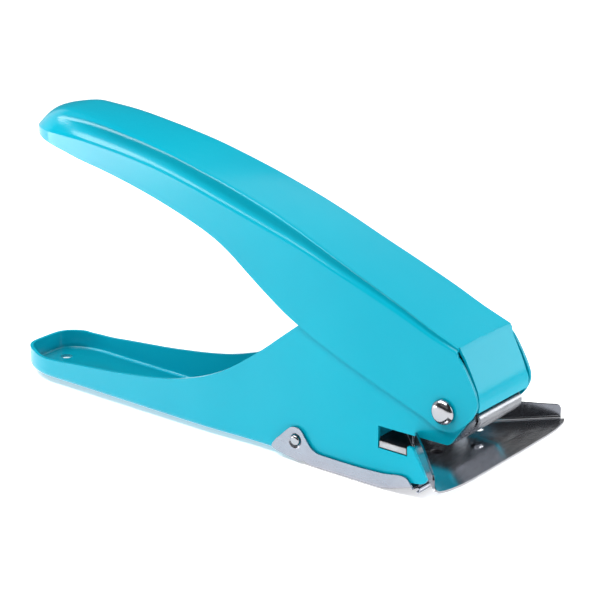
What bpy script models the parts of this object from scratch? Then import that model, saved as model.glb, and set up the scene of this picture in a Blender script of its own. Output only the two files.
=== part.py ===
"""Hand-held corner hole punch in pressed steel, with every piece a separate solid.

X runs forward along the tool towards the paper mouth, Z is up and the handle
pivot lies along Y.
"""
import bpy
import bmesh
import math
from mathutils import Vector
from mathutils.geometry import tessellate_polygon

for ob in list(bpy.data.objects):
    bpy.data.objects.remove(ob, do_unlink=True)

MM = 0.001
# the model is drawn about the handle pivot; the finished tool stands on Z = 0 with
# its footprint centred on the origin
STAND = (88.9, 0.0, 34.1)

# ---------------------------------------------------------------- dimensions
# widths, measured from the middle plane
HANDLE_HALF = 16.0          # outer face of the squeeze handle's walls
HANDLE_T = 1.0              # sheet of the squeeze handle
FRAME_HALF = 14.7           # outer face of the lower frame's walls
FRAME_T = 1.2               # sheet of the lower frame
COVER_HALF = 15.75          # outer face of the chip cover's sides
COVER_T = 0.7
GUIDE_HALF = 13.15          # outer face of the guide bracket's cheeks
GUIDE_T = 1.0

# squeeze handle
FOLD_X = 4.3                # where the top folds down into the front flap
TAIL_XC = -168.0            # centre of the rounded tail in plan
TAIL_A = 18.0               # length of the rounded tail
LEDGE_Z = [(4.3, 20.6), (-5, 23.3), (-15, 27.2), (-30, 32.7), (-45, 37.9), (-60, 43.0), (-75, 47.2), (-90, 51.3),
           (-105, 55.3), (-120, 58.8), (-135, 61.2), (-150, 62.9), (-160, 63.7), (-170, 64.2), (-178, 64.3), (-186, 64.1)]
PANEL_RISE = [(4.3, 1.6), (-5, 2.3), (-15, 2.6), (-30, 3.1), (-45, 3.8), (-60, 4.7), (-75, 5.8), (-90, 6.1),
              (-105, 5.9), (-120, 5.8), (-135, 6.1), (-150, 6.6), (-168, 6.9), (-178, 5.8), (-186, 2.0)]
PANEL_INSET = [(4.3, 1.2), (-15, 1.2), (-30, 1.5), (-45, 2.1), (-60, 2.6), (-75, 3.0), (-105, 3.3), (-135, 3.8), (-186, 4.2)]
SHOULDER_R = [(4.3, 0.8), (-20, 1.0), (-60, 1.3), (-110, 1.6), (-146, 2.2), (-186, 2.6)]
HANDLE_EDGE = [(-12, -2.4), (-21.1, 0.8), (-33.9, 5.4), (-46, 10.2), (-58.8, 15.9), (-63.9, 18.6), (-72.6, 24.2),
               (-81.4, 30.4), (-87.5, 34.8), (-94.6, 38.9), (-108.2, 44.1), (-126.7, 49.6),
               (-145.8, 53.9), (-156, 55.7), (-165.4, 57.9), (-173, 59.6), (-180, 60.6), (-186, 60.9)]
FLAP = [(4.3, 22.2), (5.7, 19.9), (7.3, 17.0), (9.2, 13.2), (11.0, 9.2), (12.25, 5.2), (12.0, 1.9)]
FLAP_HALF = 14.2
HEAD_EDGE = [(4.0, 20.9), (5.0, 19.6), (7.0, 16.2), (9.4, 12.6), (11.2, 9.2), (12.2, 6.2), (12.1, 3.4),
             (10.3, -0.2), (7.8, -3.0), (5.3, -5.2), (2.4, -6.4), (-1.2, -6.6), (-4.6, -5.6), (-8.0, -3.8),
             (-12.0, -2.4)]

# lower frame
TRAY_HALF = 15.9            # the tray widens behind the head, which has to fit inside the handle
FLARE_FRONT, FLARE_REAR = -77.0, -106.0
FLOOR_Z = -32.2             # underside of the tray, which climbs a little towards the tail
FLOOR_CLIMB, CLIMB_FROM = 0.006, -80.0
FLOOR_FRONT = -60.0         # the tray floor stops here and the chip cover takes over
RIM = [(-197, -23.6), (-186.5, -23.6), (-182.5, -24.2), (-175, -24.3), (-165, -23.4), (-155, -22.5), (-145, -21.6), (-135, -20.4),
       (-125, -19.0), (-115, -17.1), (-105, -14.2), (-97.8, -11.4), (-89.1, -6.9), (-76.3, 2.0), (-68, 8.6), (-59.9, 15.0),
       (-50, 17.4), (-40, 17.8), (-20, 15.6), (-8, 12.2), (0, 9.8), (5.2, 7.4), (8.2, 3.6), (8.8, 0.0), (7.5, -3.2)]
FRAME_NOSE = [(2.4, -10.4), (0.8, -11.8), (-26.35, -12.1), (-26.35, -19.95), (-14.7, -19.95), (-14.7, -16.5),
              (-12.6, -16.6), (-11.5, -18.7), (-8.0, -24.0), (-7.0, -26.4), (-7.9, -27.7), (-10.0, -28.4),
              (-12.5, -28.7), (-17, -30.0), (-59.4, -30.4)]

# paper path
TABLE_Z = -16.4             # top of the guide table
TABLE_T = 0.7
TABLE_FRONT = [(10.9, 38.4), (12.6, 37.4), (14.1, 34.9), (15.1, 30.6), (15.7, 25.0), (15.9, 15.0)]
FENCE_REAR, FENCE_FRONT = (-11.4, 15.3), (11.0, 37.7)      # the 45 degree line of the near paper fence
FENCE_TOP = (-10.1, -10.1, -11.7)      # at the rear, two thirds along, and at the front
DIE_TOP = -17.25
DIE_BOTTOM = -19.65
DIE_REAR, DIE_FRONT = -26.0, -15.0

# punch train
PUNCH_X = -20.5
PUNCH_R = 2.5
CLEAR = 0.3
PUNCH_TIP = -11.95
HEAD_BOTTOM, HEAD_TOP = 0.6, 7.2
DRIVE_PIN = (-20.5, 3.0)
DRIVE_PIN_R = 2.0
PLATE_TOP = -11.0           # upper face of the guide bracket's base
PLATE_BOTTOM = -12.0
CROSS_PIN = (-40.0, 10.8)
PIVOT_R = 2.5

# chip cover
COVER_PIVOT = (-60.3, -26.0)
COVER_FLOOR = [(-58, -33.5), (-52, -34.1), (-38, -34.1), (-27, -34.1), (-22, -33.4), (-17, -31.9), (-12, -30.7), (-10.6, -30.9)]
COVER_SIDE = [(-69.7, -30.9), (-68.8, -28.0), (-67.0, -26.2), (-63.4, -22.7), (-61.6, -21.5), (-59.4, -21.2),
              (-57.6, -22.0), (-56.0, -24.0), (-54.0, -26.6), (-52.4, -27.8), (-50.3, -28.5), (-38.6, -28.6),
              (-24.2, -28.1), (-15.6, -26.9), (-13.6, -27.6), (-12.3, -29.4), (-11.9, -31.0), (-14.0, -36),
              (-58.2, -36), (-58.2, -33.2)]
ROLL = (-10.4, -31.0)
ROLL_R = 0.95
ROLL_HALF = 14.4


# ---------------------------------------------------------------- materials
def material(name, rgb, rough, metal):
    m = bpy.data.materials.new(name)
    m.use_nodes = True
    b = m.node_tree.nodes["Principled BSDF"]
    b.inputs["Base Color"].default_value = (rgb[0], rgb[1], rgb[2], 1.0)
    b.inputs["Roughness"].default_value = rough
    b.inputs["Metallic"].default_value = metal
    m.diffuse_color = (rgb[0], rgb[1], rgb[2], 1.0)
    return m


CYAN = (0.0, 0.43, 0.60)
CHROME = (0.72, 0.73, 0.76)
STEEL = (0.52, 0.53, 0.55)


# ---------------------------------------------------------------- helpers
def curve(points):
    """Smooth single-valued curve through (x, z) points."""
    pts = sorted(points)
    xs = [p[0] for p in pts]
    zs = [p[1] for p in pts]
    n = len(pts)
    d = [(zs[i + 1] - zs[i]) / (xs[i + 1] - xs[i]) for i in range(n - 1)]
    m = [d[0]]
    for i in range(1, n - 1):
        if d[i - 1] * d[i] <= 0.0:
            m.append(0.0)
        else:
            h0, h1 = xs[i] - xs[i - 1], xs[i + 1] - xs[i]
            w0, w1 = 2 * h1 + h0, h1 + 2 * h0
            m.append((w0 + w1) / (w0 / d[i - 1] + w1 / d[i]))
    m.append(d[-1])

    def f(x):
        if x <= xs[0]:
            return zs[0] + m[0] * (x - xs[0]) * 0.0
        if x >= xs[-1]:
            return zs[-1]
        i = 0
        while xs[i + 1] < x:
            i += 1
        h = xs[i + 1] - xs[i]
        t = (x - xs[i]) / h
        return ((2 * t ** 3 - 3 * t ** 2 + 1) * zs[i] + (t ** 3 - 2 * t ** 2 + t) * h * m[i]
                + (-2 * t ** 3 + 3 * t ** 2) * zs[i + 1] + (t ** 3 - t ** 2) * h * m[i + 1])
    return f


def smooth(points, per=3):
    """Catmull-Rom refinement of an open polyline."""
    out = []
    n = len(points)
    for i in range(n - 1):
        p0 = points[max(i - 1, 0)]
        p1, p2 = points[i], points[i + 1]
        p3 = points[min(i + 2, n - 1)]
        for k in range(per):
            t = k / per
            out.append(tuple(0.5 * (2 * b + (c - a) * t + (2 * a - 5 * b + 4 * c - d) * t * t
                                    + (3 * b - a - 3 * c + d) * t ** 3)
                             for a, b, c, d in zip(p0, p1, p2, p3)))
    out.append(points[-1])
    return out


def circle(cx, cz, r, n=24, phase=0.0):
    return [(cx + r * math.cos(phase + 2 * math.pi * k / n), cz + r * math.sin(phase + 2 * math.pi * k / n))
            for k in range(n)]


def add_object(name, verts, faces, mat=None, flat=False, parent=None):
    me = bpy.data.meshes.new(name)
    bm = bmesh.new()
    vs = [bm.verts.new(Vector(v) * MM) for v in verts]
    for f in faces:
        try:
            bm.faces.new([vs[i] for i in f])
        except ValueError:
            pass
    bmesh.ops.remove_doubles(bm, verts=bm.verts, dist=0.00001)
    bmesh.ops.recalc_face_normals(bm, faces=bm.faces)
    for f in bm.faces:
        f.smooth = not flat
    bm.to_mesh(me)
    bm.free()
    ob = bpy.data.objects.new(name, me)
    bpy.context.scene.collection.objects.link(ob)
    if mat is not None:
        me.materials.append(mat)
    return ob


def prism(name, outline, lo, hi, axis="Y", holes=(), mat=None, flat=True):
    """Straight extrusion of a 2D outline with holes; axis Y takes (x, z), axis Z takes (x, y)."""
    loops = [list(outline)] + [list(h) for h in holes]
    flatpts = [p for lp in loops for p in lp]
    tri = tessellate_polygon([[Vector((p[0], p[1], 0.0)) for p in lp] for lp in loops])
    n = len(flatpts)

    def place(p, h):
        return (p[0], h, p[1]) if axis == "Y" else (p[0], p[1], h)
    verts = [place(p, lo) for p in flatpts] + [place(p, hi) for p in flatpts]
    faces = [tuple(t) for t in tri] + [tuple(i + n for i in reversed(t)) for t in tri]
    base = 0
    for lp in loops:
        k = len(lp)
        for i in range(k):
            a, b = base + i, base + (i + 1) % k
            faces.append((a, b, b + n, a + n))
        base += k
    return add_object(name, verts, faces, mat, flat)


def lathe(name, profile, centre, axis="Z", n=24, mat=None):
    """Turned piece: profile of (radius, height) from one end to the other."""
    verts, faces, rows = [], [], []
    for r, h in profile:
        row = []
        cnt = 1 if r < 1e-6 else n
        for k in range(cnt):
            a = 2 * math.pi * k / n
            if axis == "Z":
                verts.append((centre[0] + r * math.cos(a), centre[1] + r * math.sin(a), h))
            else:
                verts.append((centre[0] + r * math.cos(a), h, centre[1] + r * math.sin(a)))
            row.append(len(verts) - 1)
        rows.append(row)
    closed = profile[0] == profile[-1]
    for i in range(len(rows) - 1):
        a, b = rows[i], rows[i + 1]
        for k in range(n):
            k2 = (k + 1) % n
            if len(a) == 1 and len(b) == 1:
                continue
            if len(a) == 1:
                faces.append((a[0], b[k2], b[k]))
            elif len(b) == 1:
                faces.append((a[k], a[k2], b[0]))
            else:
                faces.append((a[k], a[k2], b[k2], b[k]))
    if not closed:
        for row in (rows[0], rows[-1]):
            if len(row) > 1:
                faces.append(tuple(row))
    return add_object(name, verts, faces, mat)


def shell(name, verts, faces, t, mat=None):
    """Closed sheet-metal solid under an open surface: the surface, its inward offset and the cut edges."""
    bm = bmesh.new()
    vs = [bm.verts.new(Vector(v)) for v in verts]
    for f in faces:
        ids = []
        for i in f:
            if i not in ids:
                ids.append(i)
        if len(ids) >= 3:
            try:
                bm.faces.new([vs[i] for i in ids])
            except ValueError:
                pass
    bmesh.ops.remove_doubles(bm, verts=bm.verts, dist=0.0005)
    loose = [v for v in bm.verts if not v.link_faces]
    bmesh.ops.delete(bm, geom=loose, context="VERTS")
    bm.normal_update()
    bm.verts.index_update()
    bm.verts.ensure_lookup_table()
    n = len(bm.verts)
    out = [tuple(v.co) for v in bm.verts]
    inn = [tuple(v.co - v.normal * min(v.calc_shell_factor(), 1.5) * t) for v in bm.verts]
    fs = [[v.index for v in f.verts] for f in bm.faces]
    newf = [tuple(f) for f in fs] + [tuple(i + n for i in reversed(f)) for f in fs]
    for e in bm.edges:
        if len(e.link_faces) == 1:
            lp = e.link_loops[0]
            a, b = lp.vert.index, lp.link_loop_next.vert.index
            newf.append((b, a, a + n, b + n))
    bm.free()
    return add_object(name, out + inn, newf, mat)


def cutter(ob):
    ob.hide_render = True
    ob.display_type = "WIRE"
    return ob


def boolean(target, tool, op):
    m = target.modifiers.new(op.lower(), "BOOLEAN")
    m.operation = op
    m.solver = "EXACT"
    m.object = cutter(tool)
    return m


def smooth_by_angle(ob, deg=35.0):
    me = ob.data
    me.set_sharp_from_angle(angle=math.radians(deg))


def on_axis(ob, x, y, z):
    """Put the object's origin on a joint axis without moving its metal."""
    off = Vector((x, y, z)) * MM
    for v in ob.data.vertices:
        v.co -= off
    ob.location = ob.location + off


# ---------------------------------------------------------------- squeeze handle
ledge_z = curve(LEDGE_Z)
rise = curve(PANEL_RISE)
panel_inset = curve(PANEL_INSET)
shoulder_r = curve(SHOULDER_R)
edge_z = curve(HANDLE_EDGE)

HANDLE_X = [4.3, 0.5, -6, -14, -24, -35, -46, -58, -70, -82, -94, -106, -118, -130, -142, -155, -168]
TAIL_DEG = [14, 28, 42, 56, 70, 82, 90]


def handle_surface(stations, tail, arc_n=3, panel_n=2):
    """Half of the outer skin, from the middle line out over the shoulder and down the wall."""
    rows = []
    for x in stations:
        rows.append(((x, 0.0), (x, HANDLE_HALF), x))
    for d in tail:
        a = math.radians(d)
        rows.append(((TAIL_XC - 8.0 * d / 90.0, 0.0),
                     (TAIL_XC - TAIL_A * math.sin(a), HANDLE_HALF * math.cos(a)), None))
    grid = []
    for spine, rim, x in rows:
        length = math.hypot(rim[0] - spine[0], rim[1] - spine[1])
        ux, uy = (rim[0] - spine[0]) / length, (rim[1] - spine[1]) / length
        xr = rim[0]
        r = shoulder_r(xr)
        inset = min(panel_inset(xr), 0.45 * length)
        knee = 0.45 * inset + 0.25
        dome = min(1.0, max(0.0, (xr + 146.0) / -24.0))       # 0 amidships, 1 at the tail
        dome = dome * dome * (3 - 2 * dome)
        # (distance in from the wall, height above the shoulder, share of the panel's rise)
        sect = [(length * (1 - k / panel_n) + (inset + 1.3) * k / panel_n, 0.35 * (1 - (k / panel_n) ** 2), 1.0) for k in range(panel_n)]
        sect += [(inset + 1.3, 0.0, 1.0), (inset + 0.4, -0.12, 0.97), (inset - 0.1, -0.05, 0.84), (knee, 0.0, 0.22), (max(r + 0.05, 0.55 * knee + 0.4 * r), 0.0, 0.05)]
        sect += [(r * (1 - math.cos(a)), r * math.sin(a) - r, 0.0) for a in [math.pi / 2 * (1 - k / arc_n) for k in range(arc_n + 1)]]
        col = []
        for d, a, share in sect:
            px, py = rim[0] - ux * d, rim[1] - uy * d
            z = ledge_z(px if d > r else xr) + a + share * rise(px)
            if dome > 0:
                q = 1.0 - min(1.0, d / 13.0)
                crown = ledge_z(px) + rise(px)
                low = ledge_z(xr) - r
                z = z * (1 - dome) + (low + (crown - low) * (1.0 - q ** 2.7) ** 0.92) * dome
            col.append((px, py, z))
        zb = edge_z(rim[0]) if rim[0] <= -12 else -10.0
        col.append((rim[0], rim[1], zb))
        grid.append(col)
    return grid


def mirror_faces(grid, mask):
    """Faces for both halves of a half grid; vertices on the middle plane are shared by position."""
    verts, faces = [], []
    for s in (-1, 1):
        base = len(verts)
        m = len(grid[0])
        for col in grid:
            for p in col:
                verts.append((p[0], s * p[1], p[2]))
        for i in range(len(grid) - 1):
            for j in range(m - 1):
                if not mask(i, j):
                    continue
                a, b = base + i * m + j, base + (i + 1) * m + j
                q = (a, a + 1, b + 1, b)
                faces.append(q if s > 0 else tuple(reversed(q)))
    return verts, faces


def build_handle(name, mat):
    grid = handle_surface(HANDLE_X, TAIL_DEG)
    m = len(grid[0])
    panel_cols = 3               # columns that carry on into the flap
    wall_col = m - 2
    front = []
    flap = smooth(FLAP, 2)[1:]
    wall_x = [5.6, 7.5, 9.5, 11.5, 14.0]
    nrow = max(len(flap), len(wall_x))
    for k in range(nrow):
        fx, fz = flap[min(k, len(flap) - 1)]
        wx = wall_x[min(k, len(wall_x) - 1)]
        col = []
        for j in range(m):
            if j < panel_cols:
                y = FLAP_HALF * j / (panel_cols - 1)
                col.append((fx, y, fz))
            elif j == wall_col:
                col.append((wx, HANDLE_HALF, 19.8))
            elif j == wall_col + 1:
                col.append((wx, HANDLE_HALF, -10.0))
            else:
                col.append((fx, 15.0, fz))
        front.append(col)
    # straighten the fold line across the panel
    g0 = grid[0]
    for j in range(panel_cols):
        g0[j] = (FOLD_X, FLAP_HALF * j / (panel_cols - 1), FLAP[0][1])
    full = list(reversed(front)) + grid
    nf = len(front)

    def mask(i, j):
        if i >= nf:
            return True
        k = nf - 1 - i                      # 0 next to the fold
        if j < panel_cols - 1:
            return k < len(flap)
        if j == wall_col:
            return k < len(wall_x)
        return False
    verts, faces = mirror_faces(full, mask)
    ob = shell(name, verts, faces, HANDLE_T, mat)
    edge = smooth(HEAD_EDGE, 2)
    waste = [(3.0, 24.0)] + [(3.2, 22.0)] + edge + [(-12.0, -16.0), (20.0, -16.0), (20.0, 24.0)]
    for s, tag in ((-1, "a"), (1, "b")):
        lo, hi = sorted((s * (HANDLE_HALF - HANDLE_T - 0.35), s * (HANDLE_HALF + 2)))
        boolean(ob, prism(name + "_trim_" + tag, waste, lo, hi), "DIFFERENCE")
    boolean(ob, prism(name + "_pivot_hole", circle(0, 0, PIVOT_R + CLEAR, 24), -20, 20), "DIFFERENCE")
    return ob


paint_top = material("paint_cyan_handle", CYAN, 0.30, 0.0)
paint_low = material("paint_cyan_frame", CYAN, 0.30, 0.0)
handle_upper = build_handle("handle_upper", paint_top)

# press bracket: inverted U welded under the handle's top, its cheeks carry the drive pin
mat = material("steel_press_bracket", STEEL, 0.42, 1.0)
cheek = [(-27.0, 33.3), (-27.0, 8.0), (-25.6, 1.6), (-23.4, -0.6), (-20.5, -1.4), (-17.6, -0.6), (-15.6, 1.6), (-13.2, 8.0),
         (-11.6, 27.1)]
press_bracket = prism("press_bracket", cheek, -9.0, 9.0, mat=mat)
hollow = [(-40, -6), (0, -6), (0, 21.35), (-40, 37.45)]
boolean(press_bracket, prism("press_bracket_hollow", hollow, -8.0, 8.0), "DIFFERENCE")
boolean(press_bracket, prism("press_bracket_pin_hole", circle(DRIVE_PIN[0], DRIVE_PIN[1], DRIVE_PIN_R + 0.25, 20), -20, 20),
        "DIFFERENCE")

mat = material("steel_drive_pin", CHROME, 0.25, 1.0)
drive_pin = lathe("drive_pin", [(0, -13.05), (1.6, -13.05), (2.0, -12.7), (2.0, 12.7), (1.6, 13.05), (0, 13.05)],
                  DRIVE_PIN, "Y", 20, mat)

# ---------------------------------------------------------------- lower frame
def u_channel(name, half, t, r, floor_z, stations, floor_front, top_z, mat, tail=None, wall_only=(), arc_n=3):
    """Channel open upwards; wall_only stations carry walls but no floor; tail closes the rear end."""
    grid = []

    def column(x, y_rim, x_rim, spine_x):
        fz = floor_z(x)
        length = math.hypot(x_rim - spine_x, y_rim)
        ux, uy = (x_rim - spine_x) / length, y_rim / length
        col = [(spine_x, 0.0, fz)]
        rr = min(r, length * 0.6)
        for k in range(arc_n + 1):
            a = math.pi / 2 * k / arc_n
            d = rr * (1 - math.sin(a))
            col.append((x_rim - ux * d, y_rim - uy * d, fz + rr * (1 - math.cos(a))))
        col.append((x_rim, y_rim, top_z))
        return col
    for x in list(wall_only) + list(stations):
        grid.append(column(x, half(x), x, x))
    for (xr, yr, sx) in (tail or []):
        grid.append(column(xr, yr, xr, sx))
    m = len(grid[0])
    nw = len(wall_only)

    def mask(i, j):
        return i >= nw or j >= m - 2
    verts, faces = mirror_faces(grid, mask)
    # this channel opens upwards, so its outer skin faces down and out
    faces = [tuple(reversed(f)) for f in faces]
    return shell(name, verts, faces, t, mat)


tail_plan = [(-178.0, 15.9, -170.0), (-183.0, 15.0, -173.0), (-188.0, 12.9, -176.0), (-191.5, 10.2, -179.0), (-193.2, 7.2, -181.0),
             (-193.7, 3.6, -182.5), (-193.7, 0.0, -184.0)]


def frame_half(x):
    t = min(1.0, max(0.0, (x - FLARE_FRONT) / (FLARE_REAR - FLARE_FRONT)))
    return FRAME_HALF + (TRAY_HALF - FRAME_HALF) * t * t * (3 - 2 * t)


frame_lower = u_channel("frame_lower", frame_half, FRAME_T, 2.0, lambda x: FLOOR_Z + FLOOR_CLIMB * max(0.0, CLIMB_FROM - x),
                        [-60, -77, -84, -92, -99, -106, -120, -135, -150, -165], FLOOR_FRONT, 22.0, paint_low,
                        tail=tail_plan, wall_only=(14, -20, -40))
outline = smooth(RIM, 2) + FRAME_NOSE + [(-59.4, -36.0), (-198.0, -36.0), (-198.0, -23.4)]
boolean(frame_lower,
        prism("frame_lower_profile", outline, -20, 20,
              holes=[circle(0, 0, PIVOT_R + CLEAR, 24), circle(CROSS_PIN[0], CROSS_PIN[1], 2.3, 16),
                     circle(COVER_PIVOT[0], COVER_PIVOT[1], 1.3, 16)]), "INTERSECT")
boolean(frame_lower, lathe("frame_lower_hang_hole", [(0, -40), (1.6, -40), (1.6, -28), (0, -28)], (-184.6, 2.0), "Z", 16),
        "DIFFERENCE")

# ---------------------------------------------------------------- pivot
mat = material("chrome_pivot_rivet", CHROME, 0.12, 1.0)
dome = [(4.25, 16.3), (4.25, 16.6), (4.0, 17.3), (3.4, 17.9), (2.3, 18.35), (1.1, 18.55), (0, 18.6)]
prof = [(r, -h) for r, h in reversed(dome)] + [(PIVOT_R, -16.3), (PIVOT_R, 16.3)] + dome
pivot_rivet = lathe("pivot_rivet", prof, (0.0, 0.0), "Y", 28, mat)
mat = material("steel_pivot_spacer", STEEL, 0.38, 1.0)
pivot_spacer = lathe("pivot_spacer", [(4.0, -11.8), (4.0, 11.8), (2.8, 11.8), (2.8, -11.8), (4.0, -11.8)],
                     (0.0, 0.0), "Y", 24, mat)
mat = material("steel_cross_pin", STEEL, 0.35, 1.0)
guide_cross_pin = lathe("guide_cross_pin", [(0, -14.5), (2.0, -14.5), (2.0, 14.5), (0, 14.5)], CROSS_PIN, "Y", 16, mat)

# ---------------------------------------------------------------- guide bracket
mat = material("steel_guide_bracket", (0.60, 0.61, 0.63), 0.30, 1.0)
lip_low = [(-30.0, PLATE_BOTTOM), (0.6, PLATE_BOTTOM), (2.2, -11.6), (9.2, -5.6), (10.9, -3.6), (11.5, -1.8), (11.0, -0.2), (9.8, 0.5)]
lip_top = [(9.3, -0.4), (10.1, -0.9), (10.4, -1.9), (9.9, -3.2), (8.5, -4.9), (1.7, -10.7), (0.2, PLATE_TOP), (-30.0, PLATE_TOP)]
guide_bracket = prism("guide_bracket", lip_low + lip_top, -11.6, 11.6, mat=mat)
cheek = [(-31.0, PLATE_BOTTOM + 0.05), (0.4, PLATE_BOTTOM + 0.05), (1.6, -11.4), (8.6, -5.2), (9.9, -3.4), (10.2, -1.4), (8.8, 1.8),
         (5.6, 6.4), (-2.0, 8.2), (-30.0, 14.0), (-40.0, 14.6), (-44.2, 12.6), (-44.4, 8.6), (-38.0, -2.0)]
slot = ([(PUNCH_X + 2.35 * math.cos(a), 3.15 + 2.35 * math.sin(a)) for a in [math.pi * k / 8 for k in range(9)]]
        + [(PUNCH_X + 2.35 * math.cos(a), -3.3 + 2.35 * math.sin(a)) for a in [math.pi + math.pi * k / 8 for k in range(9)]])
slot = [(x - (0.05 if z < 2 else 0.0), z) for x, z in slot]
for s, tag in ((-1, "a"), (1, "b")):
    lo, hi = sorted((s * GUIDE_HALF, s * (GUIDE_HALF - GUIDE_T)))
    pc = prism("guide_bracket_cheek_" + tag, cheek, lo, hi,
               holes=[slot, circle(0, 0, PIVOT_R + CLEAR, 24), circle(CROSS_PIN[0], CROSS_PIN[1], 2.3, 16)])
    boolean(guide_bracket, pc, "UNION")
web = prism("guide_bracket_web", [(-29.5, PLATE_BOTTOM + 0.1), (0.2, PLATE_BOTTOM + 0.1), (0.0, PLATE_TOP - 0.1), (-29.5, PLATE_TOP - 0.1)],
            -12.7, 12.7)
boolean(guide_bracket, web, "UNION")
boolean(guide_bracket, lathe("guide_bracket_bore", [(0, -16), (3.75, -16), (3.75, -8), (0, -8)], (PUNCH_X, 0), "Z", 24), "DIFFERENCE")

mat = material("steel_guide_bush", (0.66, 0.67, 0.68), 0.22, 1.0)
guide_bush = lathe("guide_bush", [(2.8, -11.95), (3.45, -11.95), (3.45, -10.7), (4.9, -10.7), (4.9, -10.1), (3.45, -10.1), (3.45, -7.6),
                                  (3.15, -7.3), (2.8, -7.3), (2.8, -11.95)], (PUNCH_X, 0), "Z", 24, mat)

# ---------------------------------------------------------------- punch train
mat = material("steel_punch", (0.62, 0.63, 0.65), 0.20, 1.0)
punch = lathe("punch", [(0, -10.9), (1.6, -11.6), (PUNCH_R, PUNCH_TIP), (PUNCH_R, HEAD_BOTTOM + 1.5), (0, HEAD_BOTTOM + 1.5)],
              (PUNCH_X, 0), "Z", 28, mat)
head_plan = [(-24.9, -4.0), (-24.0, -5.0), (-17.0, -5.0), (-16.1, -4.0), (-16.1, 4.0), (-17.0, 5.0), (-24.0, 5.0), (-24.9, 4.0)]
boolean(punch, prism("punch_head", head_plan, HEAD_BOTTOM, HEAD_TOP, axis="Z"), "UNION")
obround = ([(PUNCH_X + 0.3 + 2.25 * math.cos(a), DRIVE_PIN[1] + 2.25 * math.sin(a)) for a in [-math.pi / 2 + math.pi * k / 8 for k in range(9)]]
           + [(PUNCH_X - 0.5 + 2.25 * math.cos(a), DRIVE_PIN[1] + 2.25 * math.sin(a)) for a in [math.pi / 2 + math.pi * k / 8 for k in range(9)]])
boolean(punch, prism("punch_slot", obround, -9, 9), "DIFFERENCE")

mat = material("steel_spring_seat", STEEL, 0.35, 1.0)
spring_seat = lathe("spring_seat", [(2.8, -0.35), (5.2, -0.35), (5.2, 0.35), (2.8, 0.35), (2.8, -0.35)], (PUNCH_X, 0), "Z", 24, mat)

# return spring: open coil with its last half turns closed down
WIRE = 0.5
COIL_R = 4.35
Z0, Z1 = -9.4, -1.0
TURNS = 4.0
SEG, RING = 14, 7
mat = material("steel_return_spring", (0.45, 0.46, 0.48), 0.28, 1.0)
verts, faces = [], []
steps = int(TURNS * SEG)
for i in range(steps + 1):
    f = i / steps
    a = 2 * math.pi * TURNS * f
    lead = min(1.0, max(0.0, (f - 0.10) / 0.80))
    z = Z0 + (Z1 - Z0) * lead
    c = Vector((PUNCH_X + COIL_R * math.cos(a), COIL_R * math.sin(a), z))
    out = Vector((math.cos(a), math.sin(a), 0.0))
    up = Vector((0, 0, 1))
    for k in range(RING):
        b = 2 * math.pi * k / RING
        verts.append(tuple(c + out * WIRE * math.cos(b) + up * WIRE * math.sin(b)))
for i in range(steps):
    for k in range(RING):
        k2 = (k + 1) % RING
        faces.append((i * RING + k, i * RING + k2, (i + 1) * RING + k2, (i + 1) * RING + k))
faces.append(tuple(range(RING)))
faces.append(tuple(steps * RING + k for k in range(RING)))
return_spring = add_object("return_spring", verts, faces, mat)

# ---------------------------------------------------------------- die
mat = material("steel_die_plate", (0.70, 0.70, 0.69), 0.45, 1.0)
die_plan = [(-27.6, -12.9), (DIE_REAR, -12.9), (DIE_REAR, -14.7), (DIE_FRONT, -14.7), (DIE_FRONT, -12.9), (-13.4, -12.9),
            (-13.4, 12.9), (DIE_FRONT, 12.9), (DIE_FRONT, 14.7), (DIE_REAR, 14.7), (DIE_REAR, 12.9), (-27.6, 12.9)]
RIVET_X, RIVET_Y = -15.6, 6.2
die_plate = prism("die_plate", die_plan, DIE_BOTTOM, DIE_TOP, axis="Z", mat=mat,
                  holes=[circle(PUNCH_X, 0, 4.8, 28), circle(RIVET_X, -RIVET_Y, 1.75, 14), circle(RIVET_X, RIVET_Y, 1.75, 14)])
mat = material("steel_die_insert", (0.66, 0.67, 0.69), 0.20, 1.0)
die_insert = lathe("die_insert", [(2.8, DIE_TOP), (4.5, DIE_TOP), (4.5, DIE_BOTTOM), (3.3, DIE_BOTTOM), (3.3, DIE_TOP - 1.4), (2.8, DIE_TOP - 1.4),
                                  (2.8, DIE_TOP)], (PUNCH_X, 0), "Z", 28, mat)

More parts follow.
